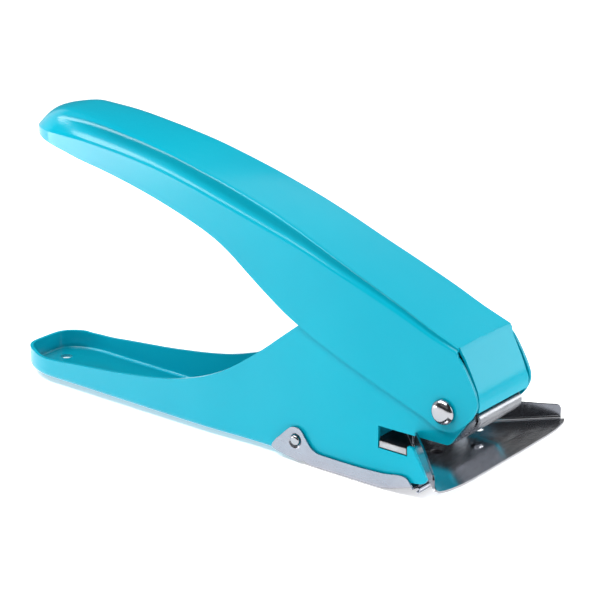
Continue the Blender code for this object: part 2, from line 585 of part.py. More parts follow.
# ---------------------------------------------------------------- guide table with its two paper fences
mat = material("stainless_guide_table", (0.42, 0.43, 0.46), 0.22, 1.0)
corner = smooth(TABLE_FRONT, 2)
half_plan = [(-26.4, 0.0), (-26.4, 0.4), (-13.8, 13.0), (-12.1, 13.0), (-12.1, 14.6)] + [FENCE_FRONT] + corner[1:]
plan = [(x, -y) for x, y in half_plan[1:]] + list(reversed(half_plan[1:]))
table_bottom = TABLE_Z - TABLE_T
guide_table = prism("guide_table", plan, table_bottom, TABLE_Z, axis="Z", mat=mat,
                    holes=[circle(PUNCH_X, 0, 2.9, 24), circle(-5.0, -11.8, 2.1, 18), circle(-5.0, 11.8, 2.1, 18),
                           circle(RIVET_X, -RIVET_Y, 2.4, 18), circle(RIVET_X, RIVET_Y, 2.4, 18)])
for s, tag in ((-1, "near"), (1, "far")):
    # fence outside the frame: a strip standing on the 45 degree edge, its top falling away near the front
    w = TABLE_T * math.sqrt(0.5)
    pts = []
    for k, (f, top) in enumerate(zip((0.0, 0.62, 1.0), FENCE_TOP)):
        x = FENCE_REAR[0] + (FENCE_FRONT[0] - FENCE_REAR[0]) * f
        y = FENCE_REAR[1] + (FENCE_FRONT[1] - FENCE_REAR[1]) * f
        pts += [(x, s * y, table_bottom + 0.05), (x + w, s * (y - w), table_bottom + 0.05), (x + w, s * (y - w), top), (x, s * y, top)]
    strip_faces = [(0, 1, 2, 3), (8, 11, 10, 9)]
    for k in (0, 4):
        strip_faces += [(k, k + 4, k + 5, k + 1), (k + 1, k + 5, k + 6, k + 2), (k + 2, k + 6, k + 7, k + 3), (k + 3, k + 7, k + 4, k)]
    boolean(guide_table, add_object("guide_table_fence_" + tag, pts, strip_faces, flat=True), "UNION")
    box_faces = [(0, 1, 2, 3), (4, 7, 6, 5), (0, 4, 5, 1), (1, 5, 6, 2), (2, 6, 7, 3), (3, 7, 4, 0)]
    # low fence inside the mouth
    a, b = (-25.4, 1.3), (-14.2, 12.5)
    pts = []
    for (x, y), top in ((a, -13.2), (b, -13.2)):
        pts += [(x, s * y, table_bottom + 0.05), (x + w, s * (y - w), table_bottom + 0.05), (x + w, s * (y - w), top), (x, s * y, top)]
    boolean(guide_table, add_object("guide_table_inner_fence_" + tag, pts, box_faces, flat=True), "UNION")
boolean(guide_table, lathe("guide_table_bead", [(0, TABLE_Z - 0.35), (2.0, TABLE_Z - 0.35), (1.9, TABLE_Z), (1.4, TABLE_Z + 0.35), (0, TABLE_Z + 0.55)],
                           (2.4, 0.0), "Z", 20), "UNION")

for s, tag in ((-1, "near"), (1, "far")):
    mat = material("steel_table_rivet_" + tag, STEEL, 0.30, 1.0)
    # countersunk rivet holding the table down on the die plate
    lathe("table_rivet_" + tag, [(0, -16.45), (2.1, -16.45), (1.45, -17.15), (1.45, -19.95), (2.5, -19.95), (2.3, -20.5), (1.4, -20.8), (0, -20.9)],
          (RIVET_X, s * RIVET_Y), "Z", 16, mat)

# ---------------------------------------------------------------- chip cover
mat = material("chrome_chip_cover", CHROME, 0.22, 1.0)
cover_floor = curve(COVER_FLOOR)
chip_cover = u_channel("chip_cover", lambda x: COVER_HALF, COVER_T, 1.6, cover_floor,
                       [-11.6, -14, -17, -20, -23.5, -27, -38, -50, -58.8], -58, -19.0, mat, wall_only=())
# ears reach back past the floor
ear = COVER_SIDE
for s, tag in ((-1, "a"), (1, "b")):
    lo, hi = sorted((s * COVER_HALF, s * (COVER_HALF - COVER_T)))
    boolean(chip_cover, prism("chip_cover_ear_" + tag, [(-71.5, -36), (-55.0, -30.2), (-55.0, -19.0), (-71.5, -19.0)], lo, hi), "UNION")
boolean(chip_cover, prism("chip_cover_profile", COVER_SIDE, -20, 20, holes=[circle(COVER_PIVOT[0], COVER_PIVOT[1], 2.1, 20)]), "INTERSECT")
lip = [(-13.2, -30.72), (-11.0, -30.6), (-10.9, -31.3), (-13.2, -31.35)]
boolean(chip_cover, prism("chip_cover_lip", lip, -12.4, 12.4), "UNION")
boolean(chip_cover, lathe("chip_cover_roll", [(0, -ROLL_HALF), (ROLL_R, -ROLL_HALF), (ROLL_R, ROLL_HALF), (0, ROLL_HALF)], ROLL, "Y", 16), "UNION")
on_axis(chip_cover, COVER_PIVOT[0], 0.0, COVER_PIVOT[1])

for s, tag in ((-1, "near"), (1, "far")):
    mat = material("chrome_cover_stud_" + tag, CHROME, 0.18, 1.0)
    prof = [(0, s * 12.9), (1.9, s * 12.9), (1.9, s * 13.2), (1.0, s * 13.2), (1.0, s * 15.0), (1.8, s * 15.0), (1.8, s * 15.9), (1.3, s * 16.15), (0, s * 16.25)]
    lathe("cover_stud_" + tag, prof, COVER_PIVOT, "Y", 18, mat)

for ob in bpy.data.objects:
    ob.location = ob.location + Vector(STAND) * MM
    if ob.type == "MESH" and not ob.hide_render:
        smooth_by_angle(ob)
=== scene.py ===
"""Looks for the hand-held corner hole punch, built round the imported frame."""
import math

import bmesh
import bpy
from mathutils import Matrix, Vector


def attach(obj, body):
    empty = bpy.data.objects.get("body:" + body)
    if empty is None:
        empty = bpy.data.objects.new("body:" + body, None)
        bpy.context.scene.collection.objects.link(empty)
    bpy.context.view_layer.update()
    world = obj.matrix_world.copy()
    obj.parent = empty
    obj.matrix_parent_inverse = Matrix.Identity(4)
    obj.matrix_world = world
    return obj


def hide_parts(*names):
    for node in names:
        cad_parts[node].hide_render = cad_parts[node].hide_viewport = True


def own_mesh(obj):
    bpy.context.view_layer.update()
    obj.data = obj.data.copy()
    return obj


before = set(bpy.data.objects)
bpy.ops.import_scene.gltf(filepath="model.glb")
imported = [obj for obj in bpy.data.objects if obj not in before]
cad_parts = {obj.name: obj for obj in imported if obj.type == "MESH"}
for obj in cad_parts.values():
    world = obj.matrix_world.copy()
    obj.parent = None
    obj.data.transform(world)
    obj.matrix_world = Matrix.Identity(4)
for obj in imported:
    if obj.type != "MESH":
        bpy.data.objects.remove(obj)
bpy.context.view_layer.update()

MM = 0.001
STAND = Vector((88.9, 0.0, 34.1))          # the drawing's origin, the handle pivot, in the row frame (mm)

# ------------------------------------------------------------------ camera
AZ, EL, FOCAL_PX = 38.2, 19.3, 2050.0
cam_data = bpy.data.cameras.new("camera")
cam_data.sensor_width = 36.0
cam_data.lens = FOCAL_PX * 36.0 / 592.0
cam_data.clip_start = 0.02
cam_data.clip_end = 30.0
camera = bpy.data.objects.new("camera", cam_data)
bpy.context.scene.collection.objects.link(camera)
camera.location = (Vector((334.3, -516.4, 248.9)) + STAND) * MM
camera.rotation_euler = (math.radians(90.0 - EL), 0.0, math.radians(AZ))
bpy.context.scene.camera = camera
bpy.context.scene.view_settings.view_transform = "Standard"


# ------------------------------------------------------------------ small maths
def curve(points):
    """Monotone cubic through (x, z) points."""
    pts = sorted(points)
    xs = [p[0] for p in pts]
    zs = [p[1] for p in pts]
    n = len(pts)
    d = [(zs[i + 1] - zs[i]) / (xs[i + 1] - xs[i]) for i in range(n - 1)]
    m = [d[0]]
    for i in range(1, n - 1):
        if d[i - 1] * d[i] <= 0.0:
            m.append(0.0)
        else:
            h0, h1 = xs[i] - xs[i - 1], xs[i + 1] - xs[i]
            w0, w1 = 2 * h1 + h0, h1 + 2 * h0
            m.append((w0 + w1) / (w0 / d[i - 1] + w1 / d[i]))
    m.append(d[-1])

    def f(x):
        if x <= xs[0]:
            return zs[0]
        if x >= xs[-1]:
            return zs[-1]
        i = 0
        while xs[i + 1] < x:
            i += 1
        h = xs[i + 1] - xs[i]
        t = (x - xs[i]) / h
        return ((2 * t ** 3 - 3 * t ** 2 + 1) * zs[i] + (t ** 3 - 2 * t ** 2 + t) * h * m[i]
                + (-2 * t ** 3 + 3 * t ** 2) * zs[i + 1] + (t ** 3 - t ** 2) * h * m[i + 1])
    return f


def smooth(points, per=6):
    out = []
    n = len(points)
    for i in range(n - 1):
        p0 = points[max(i - 1, 0)]
        p1, p2 = points[i], points[i + 1]
        p3 = points[min(i + 2, n - 1)]
        for k in range(per):
            t = k / per
            out.append(tuple(0.5 * (2 * b + (c - a) * t + (2 * a - 5 * b + 4 * c - d) * t * t
                                    + (3 * b - a - 3 * c + d) * t ** 3)
                             for a, b, c, d in zip(p0, p1, p2, p3)))
    out.append(points[-1])
    return out


def fillet(points, radii, n=6, closed=False):
    """Polyline with each corner rounded by a quadratic arc that starts radii[i] away from the corner."""
    out = []
    k = len(points)
    for i, p in enumerate(points):
        if not closed and i in (0, k - 1) or radii[i] == 0:
            out.append(tuple(p))
            continue
        a, b = points[(i - 1) % k], points[(i + 1) % k]
        la = math.dist(a, p)
        lb = math.dist(b, p)
        if isinstance(radii[i], tuple):
            ra, rb = (-q * m if q < 0 else min(q, 0.5 * m) for q, m in zip(radii[i], (la, lb)))      # negative: a share of the side
        else:
            ra, rb = min(radii[i], 0.48 * la), min(radii[i], 0.48 * lb)
        s = [p[c] + (a[c] - p[c]) * ra / la for c in range(len(p))]
        e = [p[c] + (b[c] - p[c]) * rb / lb for c in range(len(p))]
        for j in range(n + 1):
            t = j / n
            out.append(tuple((1 - t) ** 2 * s[c] + 2 * t * (1 - t) * p[c] + t * t * e[c] for c in range(len(p))))
    return out


def circle(cx, cz, r, n=32, a0=0.0, a1=2 * math.pi, end=False):
    m = n if not end else n - 1
    return [(cx + r * math.cos(a0 + (a1 - a0) * k / m), cz + r * math.sin(a0 + (a1 - a0) * k / m)) for k in range(n)]


def resample(points, n):
    acc = [0.0]
    for a, b in zip(points, points[1:]):
        acc.append(acc[-1] + math.dist(a, b))
    out = []
    for k in range(n):
        s = acc[-1] * k / (n - 1)
        i = 0
        while i < len(acc) - 2 and acc[i + 1] < s:
            i += 1
        t = (s - acc[i]) / max(acc[i + 1] - acc[i], 1e-9)
        out.append(tuple(points[i][c] + (points[i + 1][c] - points[i][c]) * t for c in range(len(points[0]))))
    return out


# ------------------------------------------------------------------ mesh builders (drawing millimetres in, row-frame metres out)
def make(name, verts, faces, mat, body, nodes, bevel=0.0, seg=2, angle=50.0, sharp=38.0, weld=0.0005):
    bm = bmesh.new()
    vs = [bm.verts.new((Vector(v) + STAND) * MM) for v in verts]
    for f in faces:
        ids = []
        for i in f:
            if not ids or i != ids[-1]:
                ids.append(i)
        if len(set(ids)) >= 3:
            try:
                bm.faces.new([vs[i] for i in ids])
            except ValueError:
                pass
    bmesh.ops.remove_doubles(bm, verts=bm.verts, dist=weld * MM)
    bmesh.ops.dissolve_degenerate(bm, edges=bm.edges, dist=weld * MM)
    loose = [v for v in bm.verts if not v.link_faces]
    if loose:
        bmesh.ops.delete(bm, geom=loose, context="VERTS")
    bmesh.ops.recalc_face_normals(bm, faces=bm.faces)
    for f in bm.faces:
        f.smooth = True
    me = bpy.data.meshes.new(name)
    bm.to_mesh(me)
    bm.free()
    me.set_sharp_from_angle(angle=math.radians(sharp))
    me.materials.append(mat)
    ob = bpy.data.objects.new(name, me)
    bpy.context.scene.collection.objects.link(ob)
    if bevel > 0:
        b = ob.modifiers.new("edge", "BEVEL")
        b.width = bevel * MM
        b.segments = seg
        b.limit_method = "ANGLE"
        b.angle_limit = math.radians(angle)
        b.use_clamp_overlap = True
    w = ob.modifiers.new("normals", "WEIGHTED_NORMAL")
    w.weight = 80
    w.keep_sharp = bevel <= 0
    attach(ob, body)
    if nodes:
        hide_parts(*nodes)
    return ob


def sheet_solid(verts, faces, t, cap=1.5):
    """Closed sheet of thickness t under an open outer skin: returns (verts, faces)."""
    bm = bmesh.new()
    vs = [bm.verts.new(Vector(v)) for v in verts]
    for f in faces:
        ids = []
        for i in f:
            if not ids or i != ids[-1]:
                ids.append(i)
        if len(set(ids)) >= 3:
            try:
                bm.faces.new([vs[i] for i in ids])
            except ValueError:
                pass
    bmesh.ops.remove_doubles(bm, verts=bm.verts, dist=0.002)
    bmesh.ops.delete(bm, geom=[v for v in bm.verts if not v.link_faces], context="VERTS")
    bm.normal_update()
    bm.verts.index_update()
    bm.verts.ensure_lookup_table()
    n = len(bm.verts)
    out = [tuple(v.co) for v in bm.verts]
    inn = [tuple(v.co - v.normal * min(v.calc_shell_factor(), cap) * t) for v in bm.verts]
    res = []
    for f in bm.faces:
        ids = [v.index for v in f.verts]
        res.append(tuple(ids))
        res.append(tuple(i + n for i in reversed(ids)))
    for e in bm.edges:
        if len(e.link_faces) == 1:
            lp = e.link_loops[0]
            a, b = lp.vert.index, lp.link_loop_next.vert.index
            res.append((b, a, a + n, b + n))
    bm.free()
    return out + inn, res


def slab(outline, lo, hi, axis="Y"):
    """Straight extrusion with single-face caps."""
    def place(p, h):
        return (p[0], h, p[1]) if axis == "Y" else (p[0], p[1], h)
    n = len(outline)
    verts = [place(p, lo) for p in outline] + [place(p, hi) for p in outline]
    faces = [tuple(reversed(range(n))), tuple(range(n, 2 * n))]
    faces += [(i, (i + 1) % n, (i + 1) % n + n, i + n) for i in range(n)]
    return verts, faces


def slab_hole(outline, holes, lo, hi, axis="Y"):
    """Straight extrusion with round holes, capped with clean fans."""
    from mathutils.geometry import tessellate_polygon
    loops = [list(outline)] + [list(h) for h in holes]
    pts = [p for lp in loops for p in lp]
    tri = tessellate_polygon([[Vector((p[0], p[1], 0.0)) for p in lp] for lp in loops])
    n = len(pts)

    def place(p, h):
        return (p[0], h, p[1]) if axis == "Y" else (p[0], p[1], h)
    verts = [place(p, lo) for p in pts] + [place(p, hi) for p in pts]
    faces = [tuple(t) for t in tri] + [tuple(i + n for i in reversed(t)) for t in tri]
    base = 0
    for lp in loops:
        k = len(lp)
        faces += [(base + i, base + (i + 1) % k, base + (i + 1) % k + n, base + i + n) for i in range(k)]
        base += k
    return verts, faces


def turned(profile, centre, axis="Z", n=48):
    verts, faces, rows = [], [], []
    for r, h in profile:
        row = []
        for k in range(1 if r < 1e-6 else n):
            a = 2 * math.pi * k / n
            c, s = r * math.cos(a), r * math.sin(a)
            verts.append((centre[0] + c, centre[1] + s, h) if axis == "Z" else (centre[0] + c, h, centre[1] + s))
            row.append(len(verts) - 1)
        rows.append(row)
    for a, b in zip(rows, rows[1:]):
        for k in range(n):
            k2 = (k + 1) % n
            if len(a) == 1 and len(b) == 1:
                continue
            if len(a) == 1:
                faces.append((a[0], b[k2], b[k]))
            elif len(b) == 1:
                faces.append((a[k], a[k2], b[0]))
            else:
                faces.append((a[k], a[k2], b[k2], b[k]))
    if profile[0] != profile[-1]:
        for row in (rows[0], rows[-1]):
            if len(row) > 1:
                faces.append(tuple(row))
    return verts, faces


def merge(*parts):
    verts, faces = [], []
    for v, f in parts:
        b = len(verts)
        verts += list(v)
        faces += [tuple(i + b for i in q) for q in f]
    return verts, faces


# ------------------------------------------------------------------ materials
def new_mat(name, rgb, rough, metal, spec=0.5):
    m = bpy.data.materials.new(name)
    m.use_nodes = True
    nt = m.node_tree
    b = nt.nodes["Principled BSDF"]
    b.inputs["Base Color"].default_value = (*rgb, 1.0)
    b.inputs["Roughness"].default_value = rough
    b.inputs["Metallic"].default_value = metal
    b.inputs["Specular IOR Level"].default_value = spec
    return m, nt, b


def node(nt, kind, **props):
    n = nt.nodes.new(kind)
    for k, v in props.items():
        setattr(n, k, v)
    return n


def noise(nt, coord, scale, detail=3.0, rough=0.55, stretch=None):
    src = coord
    if stretch is not None:
        mp = node(nt, "ShaderNodeMapping")
        mp.inputs["Scale"].default_value = stretch
        nt.links.new(coord, mp.inputs["Vector"])
        src = mp.outputs["Vector"]
    n = node(nt, "ShaderNodeTexNoise")
    n.inputs["Scale"].default_value = scale
    n.inputs["Detail"].default_value = detail
    n.inputs["Roughness"].default_value = rough
    nt.links.new(src, n.inputs["Vector"])
    return n.outputs["Fac"]


def ramp(nt, fac, stops):
    r = node(nt, "ShaderNodeValToRGB")
    e = r.color_ramp.elements
    e[0].position, e[0].color = stops[0][0], (*stops[0][1], 1.0)
    e[1].position, e[1].color = stops[-1][0], (*stops[-1][1], 1.0)
    for pos, col in stops[1:-1]:
        x = e.new(pos)
        x.color = (*col, 1.0)
    nt.links.new(fac, r.inputs["Fac"])
    return r.outputs["Color"]


def remap(nt, fac, lo, hi, a=0.3, b=0.7):
    r = node(nt, "ShaderNodeMapRange")
    r.inputs["From Min"].default_value = a
    r.inputs["From Max"].default_value = b
    r.inputs["To Min"].default_value = lo
    r.inputs["To Max"].default_value = hi
    nt.links.new(fac, r.inputs["Value"])
    return r.outputs["Result"]


def bump(nt, b, height, dist, strength=1.0, chain=None):
    n = node(nt, "ShaderNodeBump")
    n.inputs["Distance"].default_value = dist
    n.inputs["Strength"].default_value = strength
    nt.links.new(height, n.inputs["Height"])
    if chain is not None:
        nt.links.new(chain, n.inputs["Normal"])
    nt.links.new(n.outputs["Normal"], b.inputs["Normal"])
    return n.outputs["Normal"]


def paint(name, light, dark, painted_shade_zone=""):
    """Sprayed enamel over pressed steel: fine orange peel, slow tone drift, a painted sheen that falls off from the
    tail to the head, and where asked a painted shade in the panel's fold or on the tray's floor.
    """
    m, nt, b = new_mat(name, light, 0.34, 0.0, 0.14)
    co = node(nt, "ShaderNodeTexCoord").outputs["Object"]
    slow = noise(nt, co, 22.0, 2.0)
    tone = ramp(nt, slow, [(0.35, dark), (0.65, light)])
    if painted_shade_zone:
        # a darker tone in the long fold beside the raised panel, or on the floor of the tray: it stands in for shade that the lamps here do not give
        def math_node(kind, a, c):
            n = node(nt, "ShaderNodeMath", operation=kind)
            for k, val in ((0, a), (1, c)):
                if val is None:
                    continue
                if isinstance(val, (int, float)):
                    n.inputs[k].default_value = val
                else:
                    nt.links.new(val, n.inputs[k])
            return n.outputs[0]

        def smooth_range(val, lo, hi):
            n = node(nt, "ShaderNodeMapRange", interpolation_type="SMOOTHSTEP")
            n.inputs[1].default_value, n.inputs[2].default_value = lo, hi
            nt.links.new(val, n.inputs[0])
            return n.outputs[0]
        xyz = node(nt, "ShaderNodeSeparateXYZ")
        nt.links.new(co, xyz.inputs[0])
        across = math_node("ABSOLUTE", xyz.outputs["Y"], None)
        inset = math_node("SUBTRACT", 0.0030, math_node("MULTIPLY", xyz.outputs["X"], 0.0225))
        depth = math_node("DIVIDE", math_node("SUBTRACT", 0.0160, across), inset)
        if painted_shade_zone == "panel":
            painted_shade_mask = math_node("SUBTRACT", smooth_range(depth, 0.30, 0.72), smooth_range(depth, 0.90, 1.04))
            painted_shade_mask = math_node("MULTIPLY", painted_shade_mask, smooth_range(xyz.outputs["X"], -0.090, -0.050))
        else:
            painted_shade_mask = math_node("SUBTRACT", smooth_range(xyz.outputs["Z"], 0.0022, 0.0029), smooth_range(xyz.outputs["Z"], 0.0042, 0.0060))
            painted_shade_mask = math_node("MULTIPLY", painted_shade_mask, math_node("SUBTRACT", 1.0, smooth_range(across, 0.0124, 0.0138)))
        painted_shade_mix = node(nt, "ShaderNodeMix", data_type="RGBA")
        nt.links.new(painted_shade_mask, painted_shade_mix.inputs["Factor"])
        nt.links.new(tone, painted_shade_mix.inputs[6])
        nt.links.new(ramp(nt, slow, [(0.35, tuple(0.66 * c for c in dark)), (0.65, tuple(0.66 * c for c in light))]), painted_shade_mix.inputs[7])
        tone = painted_shade_mix.outputs[2]
    nt.links.new(tone, b.inputs["Base Color"])
    mid = noise(nt, co, 160.0, 3.0)
    nt.links.new(remap(nt, mid, 0.28, 0.36), b.inputs["Roughness"])
    peel = noise(nt, co, 1500.0, 2.0, 0.45)
    wave = noise(nt, co, 240.0, 1.0, 0.4)
    first = bump(nt, b, peel, 0.000012, 0.5)
    bump(nt, b, wave, 0.00003, 0.35, first)
    # gloss falls off from the tail to the head: it stands in for a fall-off of light along the tool, not for wear
    along = node(nt, "ShaderNodeSeparateXYZ")
    nt.links.new(co, along.inputs[0])
    for socket, tail, front in (("Coat Weight", 0.60, 0.26), ("Specular IOR Level", 0.14, 0.04)):
        sheen_falloff = node(nt, "ShaderNodeMapRange")
        for k, val in ((1, -0.085), (2, 0.060), (3, tail), (4, front)):
            sheen_falloff.inputs[k].default_value = val
        nt.links.new(along.outputs["X"], sheen_falloff.inputs[0])
        nt.links.new(sheen_falloff.outputs[0], b.inputs[socket])
    b.inputs["Coat Roughness"].default_value = 0.15
    return m


def metal(name, light, dark, rough, grain=None, grain_scale=900.0, depth=0.000006, spots=0.0, painted_dark_band=None):
    """Bright sheet or turned steel: directional grain, cloudy polish, small handling marks."""
    m, nt, b = new_mat(name, light, rough, 1.0)
    co = node(nt, "ShaderNodeTexCoord").outputs["Object"]
    cloud = noise(nt, co, 90.0, 4.0, 0.6)
    tone = ramp(nt, cloud, [(0.3, dark), (0.7, light)])
    if painted_dark_band is not None:                      # (height from, height to, tone) in the row frame: a painted darker tone on the bent-up fences, standing in for the dark surroundings they reflect
        xyz = node(nt, "ShaderNodeSeparateXYZ")
        nt.links.new(co, xyz.inputs["Vector"])
        mix = node(nt, "ShaderNodeMix", data_type="RGBA")
        nt.links.new(remap(nt, xyz.outputs["Z"], 0.0, 1.0, painted_dark_band[0], painted_dark_band[1]), mix.inputs["Factor"])
        nt.links.new(tone, mix.inputs[6])
        nt.links.new(ramp(nt, cloud, [(0.3, tuple(0.7 * c for c in painted_dark_band[2])), (0.7, painted_dark_band[2])]), mix.inputs[7])
        tone = mix.outputs[2]
    nt.links.new(tone, b.inputs["Base Color"])
    g = noise(nt, co, grain_scale, 3.0, 0.6, grain or (1.0, 1.0, 1.0))
    nt.links.new(remap(nt, g, rough * 0.8, rough * 1.25), b.inputs["Roughness"])
    n1 = bump(nt, b, g, depth, 0.5)
    if spots > 0:
        s = noise(nt, co, 2600.0, 2.0, 0.7)
        bump(nt, b, s, spots, 0.6, n1)
    return m


CYAN_A = (0.0, 0.3936, 0.528)
CYAN_B = (0.0, 0.372, 0.5074)
m_handle = paint("enamel_handle", CYAN_A, CYAN_B, "panel")
m_frame = paint("enamel_frame", CYAN_A, CYAN_B, "tray")
# the table darkens from 17.6 to 18.6 mm up, over its bent-up fences: a painted darker tone standing in for the dark
# surroundings they reflect
m_table = metal("stainless_table", (0.92, 0.93, 0.97), (0.87, 0.88, 0.92), 0.19, (1.0, 0.08, 1.0), 1400.0, 0.0000015, painted_dark_band=(0.0176, 0.0186, (0.20, 0.21, 0.24)))
m_edge = metal("sheared_edge", (0.46, 0.46, 0.48), (0.34, 0.34, 0.36), 0.36, (1.0, 1.0, 0.1), 1500.0)
m_cover = metal("satin_chrome", (0.37, 0.38, 0.43), (0.32, 0.33, 0.38), 0.24, (0.06, 1.0, 1.0), 1200.0)
m_rivet = metal("polished_dome", (0.43, 0.43, 0.46), (0.38, 0.38, 0.40), 0.14, None, 700.0, 0.000004)
m_bracket = metal("bright_bracket", (0.26, 0.27, 0.29), (0.19, 0.20, 0.22), 0.26, (1.0, 0.1, 1.0), 1100.0)
m_sheared = metal("sheared_die", (0.56, 0.56, 0.57), (0.24, 0.24, 0.25), 0.36, (0.25, 1.0, 1.0), 700.0, 0.00012, 0.00006)
m_black = metal("oiled_die_steel", (0.10, 0.10, 0.105), (0.05, 0.05, 0.055), 0.40, (1.0, 0.2, 1.0), 900.0, 0.00003)
m_pressed = metal("pressed_steel", (0.55, 0.56, 0.58), (0.44, 0.45, 0.47), 0.38, (1.0, 0.12, 1.0), 900.0)
m_ground = metal("ground_steel", (0.72, 0.73, 0.75), (0.64, 0.65, 0.67), 0.22, (1.0, 1.0, 0.06), 1600.0)
m_tool = metal("tool_steel", (0.66, 0.67, 0.69), (0.58, 0.59, 0.61), 0.20, (1.0, 1.0, 0.06), 1400.0)
m_spring = metal("spring_wire", (0.52, 0.52, 0.55), (0.40, 0.40, 0.43), 0.30, None, 1500.0)

# ------------------------------------------------------------------ squeeze handle
HANDLE_HALF, HANDLE_T = 16.0, 1.0
FOLD_X, TAIL_XC, TAIL_A = 4.3, -168.0, 18.0
FLAP_HALF = 14.2
ledge_z = curve([(4.3, 20.6), (-5, 23.3), (-15, 27.2), (-30, 32.7), (-45, 37.9), (-60, 43.0), (-75, 47.2), (-90, 51.3),
                 (-105, 55.3), (-120, 58.8), (-135, 61.2), (-150, 62.9), (-160, 63.7), (-170, 64.2), (-178, 64.3), (-186, 64.1)])
rise = curve([(4.3, 1.6), (-5, 2.3), (-15, 2.6), (-30, 3.1), (-45, 3.8), (-60, 4.7), (-75, 5.8), (-90, 6.1),
              (-105, 5.9), (-120, 5.8), (-135, 6.1), (-150, 6.6), (-168, 6.9), (-178, 5.8), (-186, 2.0)])
panel_inset = curve([(4.3, 1.2), (-15, 1.2), (-30, 1.5), (-45, 2.1), (-60, 2.6), (-75, 3.0), (-105, 3.3), (-135, 3.8), (-186, 4.2)])
shoulder_r = curve([(4.3, 1.0), (-20, 1.5), (-45, 2.3), (-75, 2.8), (-110, 3.0), (-146, 3.3), (-186, 3.1)])
edge_z = curve([(-12, -2.4), (-21.1, 0.8), (-33.9, 5.4), (-46, 10.2), (-58.8, 15.9), (-63.9, 18.6), (-72.6, 24.2),
                (-81.4, 30.4), (-87.5, 34.8), (-94.6, 38.9), (-108.2, 44.1), (-126.7, 49.6),
                (-145.8, 53.9), (-156, 55.7), (-165.4, 57.9), (-173, 59.6), (-180, 60.6), (-186, 60.9)])
FLAP = smooth([(4.3, 22.2), (4.95, 21.2), (5.7, 19.7), (7.15, 17.0), (9.15, 13.2), (11.0, 9.2), (12.1, 6.0), (12.3, 4.4), (12.0, 1.9)], 4)
HEAD_EDGE = smooth([(4.6, 19.3), (5.5, 18.4), (7.1, 16.3), (9.4, 12.6), (11.2, 9.2), (12.2, 6.2), (12.1, 3.4), (10.3, -0.2),
                    (7.8, -3.0), (5.3, -5.2), (2.4, -6.4), (-1.2, -6.6), (-4.6, -5.6), (-8.0, -3.8), (-12.0, -2.4)], 5)


def sstep(a, b, x):
    t = min(1.0, max(0.0, (x - a) / (b - a)))
    return t * t * (3 - 2 * t)


def handle_column(spine, rim, wall_bottom):
    length = math.hypot(rim[0] - spine[0], rim[1] - spine[1])
    ux, uy = (rim[0] - spine[0]) / length, (rim[1] - spine[1]) / length
    xr = rim[0]
    r = shoulder_r(xr)
    inset = min(panel_inset(xr), 0.45 * length)
    # the tail's dome blends in over the last stretch
    dome = sstep(-150.0, -172.0, xr)
    full = 4.0 - 1.1 * sstep(-168.0, -180.0, xr)
    # section in (distance from wall, offset, share of the panel's rise): wall, shoulder, a side that steepens, panel
    raw = [(0.0, -5.0, 0.0), (0.0, 0.0, 0.0), (0.34 * inset, 0.25, 0.17), (0.62 * inset, 0.05, 0.48), (inset - 0.15, 0.0, 1.0), (length, 0.35, 1.0)]
    fade = sstep(-105, -165, xr)
    lip = 0.6 + 0.7 * sstep(-20, -70, xr) + 4.2 * fade
    turn = 0.2 + 0.2 * r
    pts = fillet(raw, [0, (turn, -0.42), (-0.30, -0.40), (-0.5, -0.35), (-0.4 - 0.2 * fade, lip), 0], 8)[1:]
    head, panel = pts[:-1], []
    d0, a0, s0 = head[-1]
    for k in range(1, 11):
        f = k / 10
        panel.append((d0 + (length - d0) * f, a0 + (0.35 - a0) * (1 - (1 - f) ** 2), 1.0))
    col = []
    zr = ledge_z(xr)
    for d, a, s in reversed(head + panel):
        px, py = rim[0] - ux * d, rim[1] - uy * d
        near_rim = 1.0 - sstep(0.0, 1.5, d)
        z = (ledge_z(px) * (1 - near_rim) + zr * near_rim) + a + s * rise(px)
        if dome > 0:
            q = 1.0 - min(1.0, d / 13.0)
            crown = ledge_z(px) + rise(px)
            low = zr - turn
            z = z * (1 - dome) + (low + (crown - low) * (1.0 - q ** full) ** 0.92) * dome
        col.append((px, py, z))
    col.append((rim[0], rim[1], wall_bottom))
    return col


